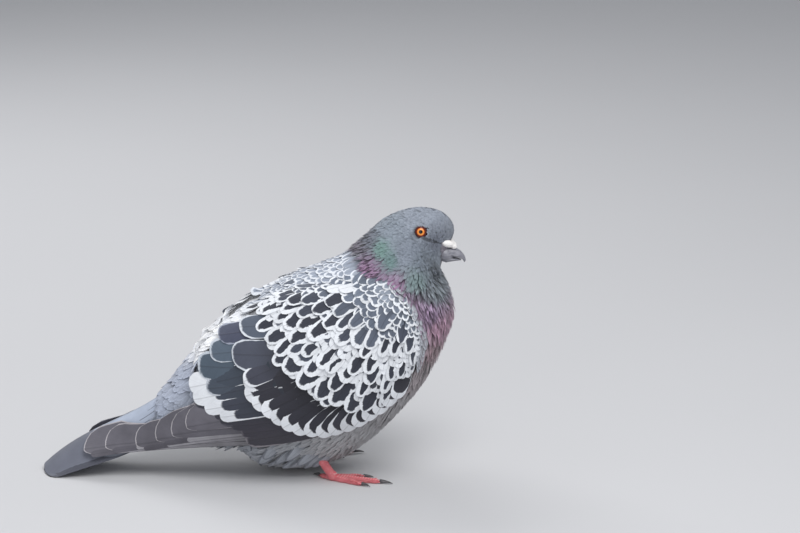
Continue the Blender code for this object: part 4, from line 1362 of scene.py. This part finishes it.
def tail_feathers():
    """Twelve tail feathers, the middle pair on top, pale with a dark end band."""
    coat = Coat("tail")
    top, under = Face("tail"), Face("tail", under=True)
    for pair in range(TAIL_PAIRS - 1, -1, -1):
        for side in (-1, 1):
            spread = side * (pair + 0.4) / TAIL_PAIRS
            root = (TAIL_ROOT, spread * TAIL_SPREADS[0])
            tip = (TAIL_TIP + TAIL_CURVE * spread**2, spread * TAIL_SPREADS[1])
            out = (TAIL_PAIRS - 1 - pair) * 0.14 - 0.4
            under_outs = (-0.2 - pair * 0.1, -0.6 - pair * 0.1)
            for face, outs, tint, end in ((top, (out, out), *TAIL_TOP), (under, under_outs, *TAIL_UNDER)):
                rows = lay_flat(face, root, tip, TAIL_HALF, TAIL_HALF, outs, steps=20)
                coat.add(rows, (0.0, 0.0), 0.0, painted(tint, 0.04), srgb(*end), TAIL_BAND)
    coat.piece("tail_feathers", "tail_plumage", BODY_WRAP, 0.03)


# ---- head and feet


def eyeball(side_name, side, finish):
    """An eyeball turned to its line of sight, which keeps its first shape for the rings of its iris."""
    shape = bmesh.new()
    bmesh.ops.create_uvsphere(shape, u_segments=48, v_segments=36, radius=EYE_RADIUS * MM)
    bmesh.ops.rotate(shape, verts=shape.verts, matrix=turn(90))
    iris = [component for vert in shape.verts for component in vert.co]
    bmesh.ops.rotate(shape, verts=shape.verts, matrix=turn(side * EYE_RISE))
    bmesh.ops.translate(shape, verts=shape.verts, vec=eye_axis(side)[0])
    ball = bmesh_piece("eyeball_" + side_name, shape, finish)
    add_attribute(ball.data, "Iris", "FLOAT_VECTOR", iris)
    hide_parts("eye_" + side_name)


def eyelid(side_name, side, finish):
    """A ring of beaded lid skin round an eye."""
    opening = LID_OPENING * MM
    out = math.sqrt((EYE_RADIUS * MM) ** 2 - opening**2)
    shape = bmesh.new()
    circle = bmesh.ops.create_circle(shape, segments=12, radius=LID_WIDTH * MM)["verts"]
    bmesh.ops.scale(shape, verts=circle, vec=(1, LID_FLATNESS, 1))
    bmesh.ops.rotate(shape, verts=circle, cent=(0, 0, 0), matrix=turn(0, 0, LID_LEAN))
    bmesh.ops.translate(shape, verts=circle, vec=(opening + LID_SHIFT[0] * MM, out + LID_SHIFT[1] * MM, 0))
    bmesh.ops.spin(
        shape, geom=shape.edges[:] + shape.verts[:], cent=(0, 0, 0), axis=(0, 1, 0),
        angle=math.tau, steps=56, use_merge=True,
    )
    bmesh.ops.remove_doubles(shape, verts=shape.verts, dist=WELD)
    bmesh.ops.scale(shape, verts=shape.verts, vec=(1, side, 1))
    bmesh.ops.rotate(shape, verts=shape.verts, matrix=turn(side * EYE_RISE))
    bmesh.ops.recalc_face_normals(shape, faces=shape.faces)
    bmesh.ops.translate(shape, verts=shape.verts, vec=eye_axis(side)[0])
    bmesh_piece("eyelid_" + side_name, shape, finish)


def smooth_copy(node, name, finish):
    """A node's shape, merged and rounded off finely."""
    piece = bmesh_piece(name, node_copy(node), finish)
    rounding = piece.modifiers.new("rounding", "SUBSURF")
    rounding.levels = rounding.render_levels = 2
    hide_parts(node)


def lobe(shape, side, x, y, z, long, wide, high, dip, inward):
    """One egg-shaped swelling."""
    made = bmesh.ops.create_uvsphere(shape, u_segments=24, v_segments=16, radius=1.0)["verts"]
    bmesh.ops.scale(shape, verts=made, vec=(long * MM, wide * MM, high * MM))
    bmesh.ops.rotate(shape, verts=made, matrix=turn(0, dip, -side * inward))
    bmesh.ops.translate(shape, verts=made, vec=mm(x, side * y, z))


def bill():
    """Both halves of the bill, its fleshy base, and the chalky cere."""
    horn = horn_material("bill_horn", srgb(118, 118, 127), srgb(150, 150, 158), 700)
    smooth_copy("bill_upper", "upper_bill", horn)
    smooth_copy("bill_lower", "lower_bill", horn)
    shape = bmesh.new()
    lobe(shape, 1, *BILL_BASE)
    bmesh_piece("bill_base", shape, horn)
    shape = bmesh.new()
    for size in CERE_LOBES:
        lobe(shape, -1, *size)
        lobe(shape, 1, *size)
    shape = evened(shape, CERE_VOXEL, CERE_SMOOTHING)
    piece = bmesh_piece("cere_skin_fold", shape, cere_material())
    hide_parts("cere")


def foot(side_name, side):
    """A leg's bare skin, with broad overlapping plates on the toes, and horn claws."""
    node = "leg_" + side_name
    shape = evened(node_copy(node), FOOT_VOXEL, FOOT_SMOOTHING)
    surface = Surface(shape)
    name = "foot_skin_" + side_name
    piece = bmesh_piece(name, shape, foot_material(name))
    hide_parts(node)
    coat = Coat("scute")
    ball_x, ball_y, pointing = FEET[side_name]
    for _, lean, length in TOES:
        angle = math.radians(pointing + lean * side)
        way = Vector((math.cos(angle), math.sin(angle), 0))
        for step in range(int(length / SCUTE_PITCH)):
            spot = mm(ball_x, ball_y, 12) + way * (SCUTE_START + step * SCUTE_PITCH) * MM
            top = surface.tree.ray_cast(spot, Vector((0, 0, -1)))[0]
            if top is not None:
                rows = lay(surface, top, way, *SCUTE_SIZE, steps=4)
                coat.add(rows, (-0.15, 0.22), 0.0, (1, 1, 1), (1, 1, 1), (0, 0))
    coat.piece("scutes_" + side_name, "leg_skin", WING_WRAP, material=scute_material())
    horn = horn_material("claw_horn_" + side_name, srgb(44, 43, 47), srgb(104, 100, 102), 900)
    for toe, _, _ in TOES:
        smooth_copy(f"claw_{side_name}_{toe}", f"horn_{side_name}_{toe}", horn)


# ---- studio


def stage():
    """A plain pale floor that curves up into a backdrop."""
    shape = bmesh.new()
    bmesh.ops.create_grid(shape, x_segments=1, y_segments=1, size=3.0)
    back = [edge for edge in shape.edges if all(vert.co.y > 2.9 for vert in edge.verts)]
    turned = bmesh.ops.spin(
        shape, geom=back, cent=(0, 3.0, 1.2), axis=(1, 0, 0), dvec=(0, 0, 0), angle=math.radians(90), steps=16
    )
    top = [part for part in turned["geom_last"] if isinstance(part, bmesh.types.BMEdge)]
    raised = bmesh.ops.extrude_edge_only(shape, edges=top)
    lifted = [part for part in raised["geom"] if isinstance(part, bmesh.types.BMVert)]
    bmesh.ops.translate(shape, verts=lifted, vec=(0, 0, 3))
    bmesh.ops.recalc_face_normals(shape, faces=shape.faces)
    floor = linked("floor", smooth_mesh("floor", shape))
    floor.data.materials.append(plain_material("floor_paper", srgb(206, 206, 208), 0.9, 3))


def softbox(name, spot, size, watts):
    """A square soft light that points at the bird."""
    data = bpy.data.lights.new(name, "AREA")
    data.shape = "SQUARE"
    data.size = size
    data.energy = watts
    light = linked(name, data)
    light.location = spot
    light.rotation_euler = (Vector((0.02, 0, 0.08)) - Vector(spot)).to_track_quat("-Z", "Y").to_euler()


def studio():
    """Soft light from above, a weaker one from the front, and an even pale surround."""
    softbox("key", (0.35, -0.75, 1.35), 0.9, 15)
    softbox("back", (-0.5, 0.9, 1.1), 0.9, 8)
    softbox("fill", (-0.3, -1.4, 0.35), 1.2, 5)
    world = bpy.data.worlds.new("surround")
    world.use_nodes = True
    surround = world.node_tree.nodes["Background"].inputs
    surround["Color"].default_value = (0.87, 0.90, 0.95, 1)
    surround["Strength"].default_value = 0.45
    bpy.context.scene.world = world
    bpy.context.scene.view_settings.view_transform = "Standard"


def camera():
    """A long lens a little above the bird, square to its right side."""
    distance = 1.8
    height = math.radians(15)
    view_width = 0.504
    target = Vector((0.0935, 0, 0.1340))
    data = bpy.data.cameras.new("camera")
    data.sensor_width = 36
    data.lens = data.sensor_width * distance / view_width
    eye_point = linked("camera", data)
    eye_point.location = target + Vector((0, -math.cos(height), math.sin(height))) * distance
    eye_point.rotation_euler = (math.radians(90) - height, 0, 0)
    bpy.context.scene.camera = eye_point


def pigeon():
    shape = swollen(node_copy(*FLESH, "eye_left", "eye_right"), SKIN_SWELL)
    shape = eye_sockets(narrow_face(swollen(evened(shape, SKIN_VOXEL, SKIN_SMOOTHING), -SKIN_SWELL)))
    surface = Surface(shape)
    skin(shape)
    shape.free()
    points = surface.centres
    wings = [tree_of(part + side_name) for part in ("wing_", "primaries_") for side_name in ("left", "right")]
    on_wing = near(points, wings[:2], WING_REACH)
    on_side = on_wing | (np.abs(points[:, 1]) > BACK_HALF * MM)
    in_shield = inside(SHIELD_OUTLINE, points)
    over = inside(MANTLE_OUTLINE, points) | (in_shield & ~on_side & (points[:, 2] > BACK_HEIGHT * MM))
    shield = on_side & in_shield & ~over
    band = on_side & inside(BAND_OUTLINE, points) & ~shield & ~over
    long = on_wing & inside(LONG_OUTLINE, points)
    body_coat(surface, over | shield | band | long, wings)
    mantle(surface, over)
    eye_finish, lid_finish = eye_material(), lid_material()
    for side_name, side in (("left", 1), ("right", -1)):
        face = Face("wing_" + side_name, side)
        primaries(side_name, side)
        flight_feathers(face, side_name)
        wing_coverts(surface, shield, band, side_name, side)
        eyeball(side_name, side, eye_finish)
        eyelid(side_name, side, lid_finish)
        foot(side_name, side)
    tail_feathers()
    bill()


camera()
stage()
studio()
pigeon()
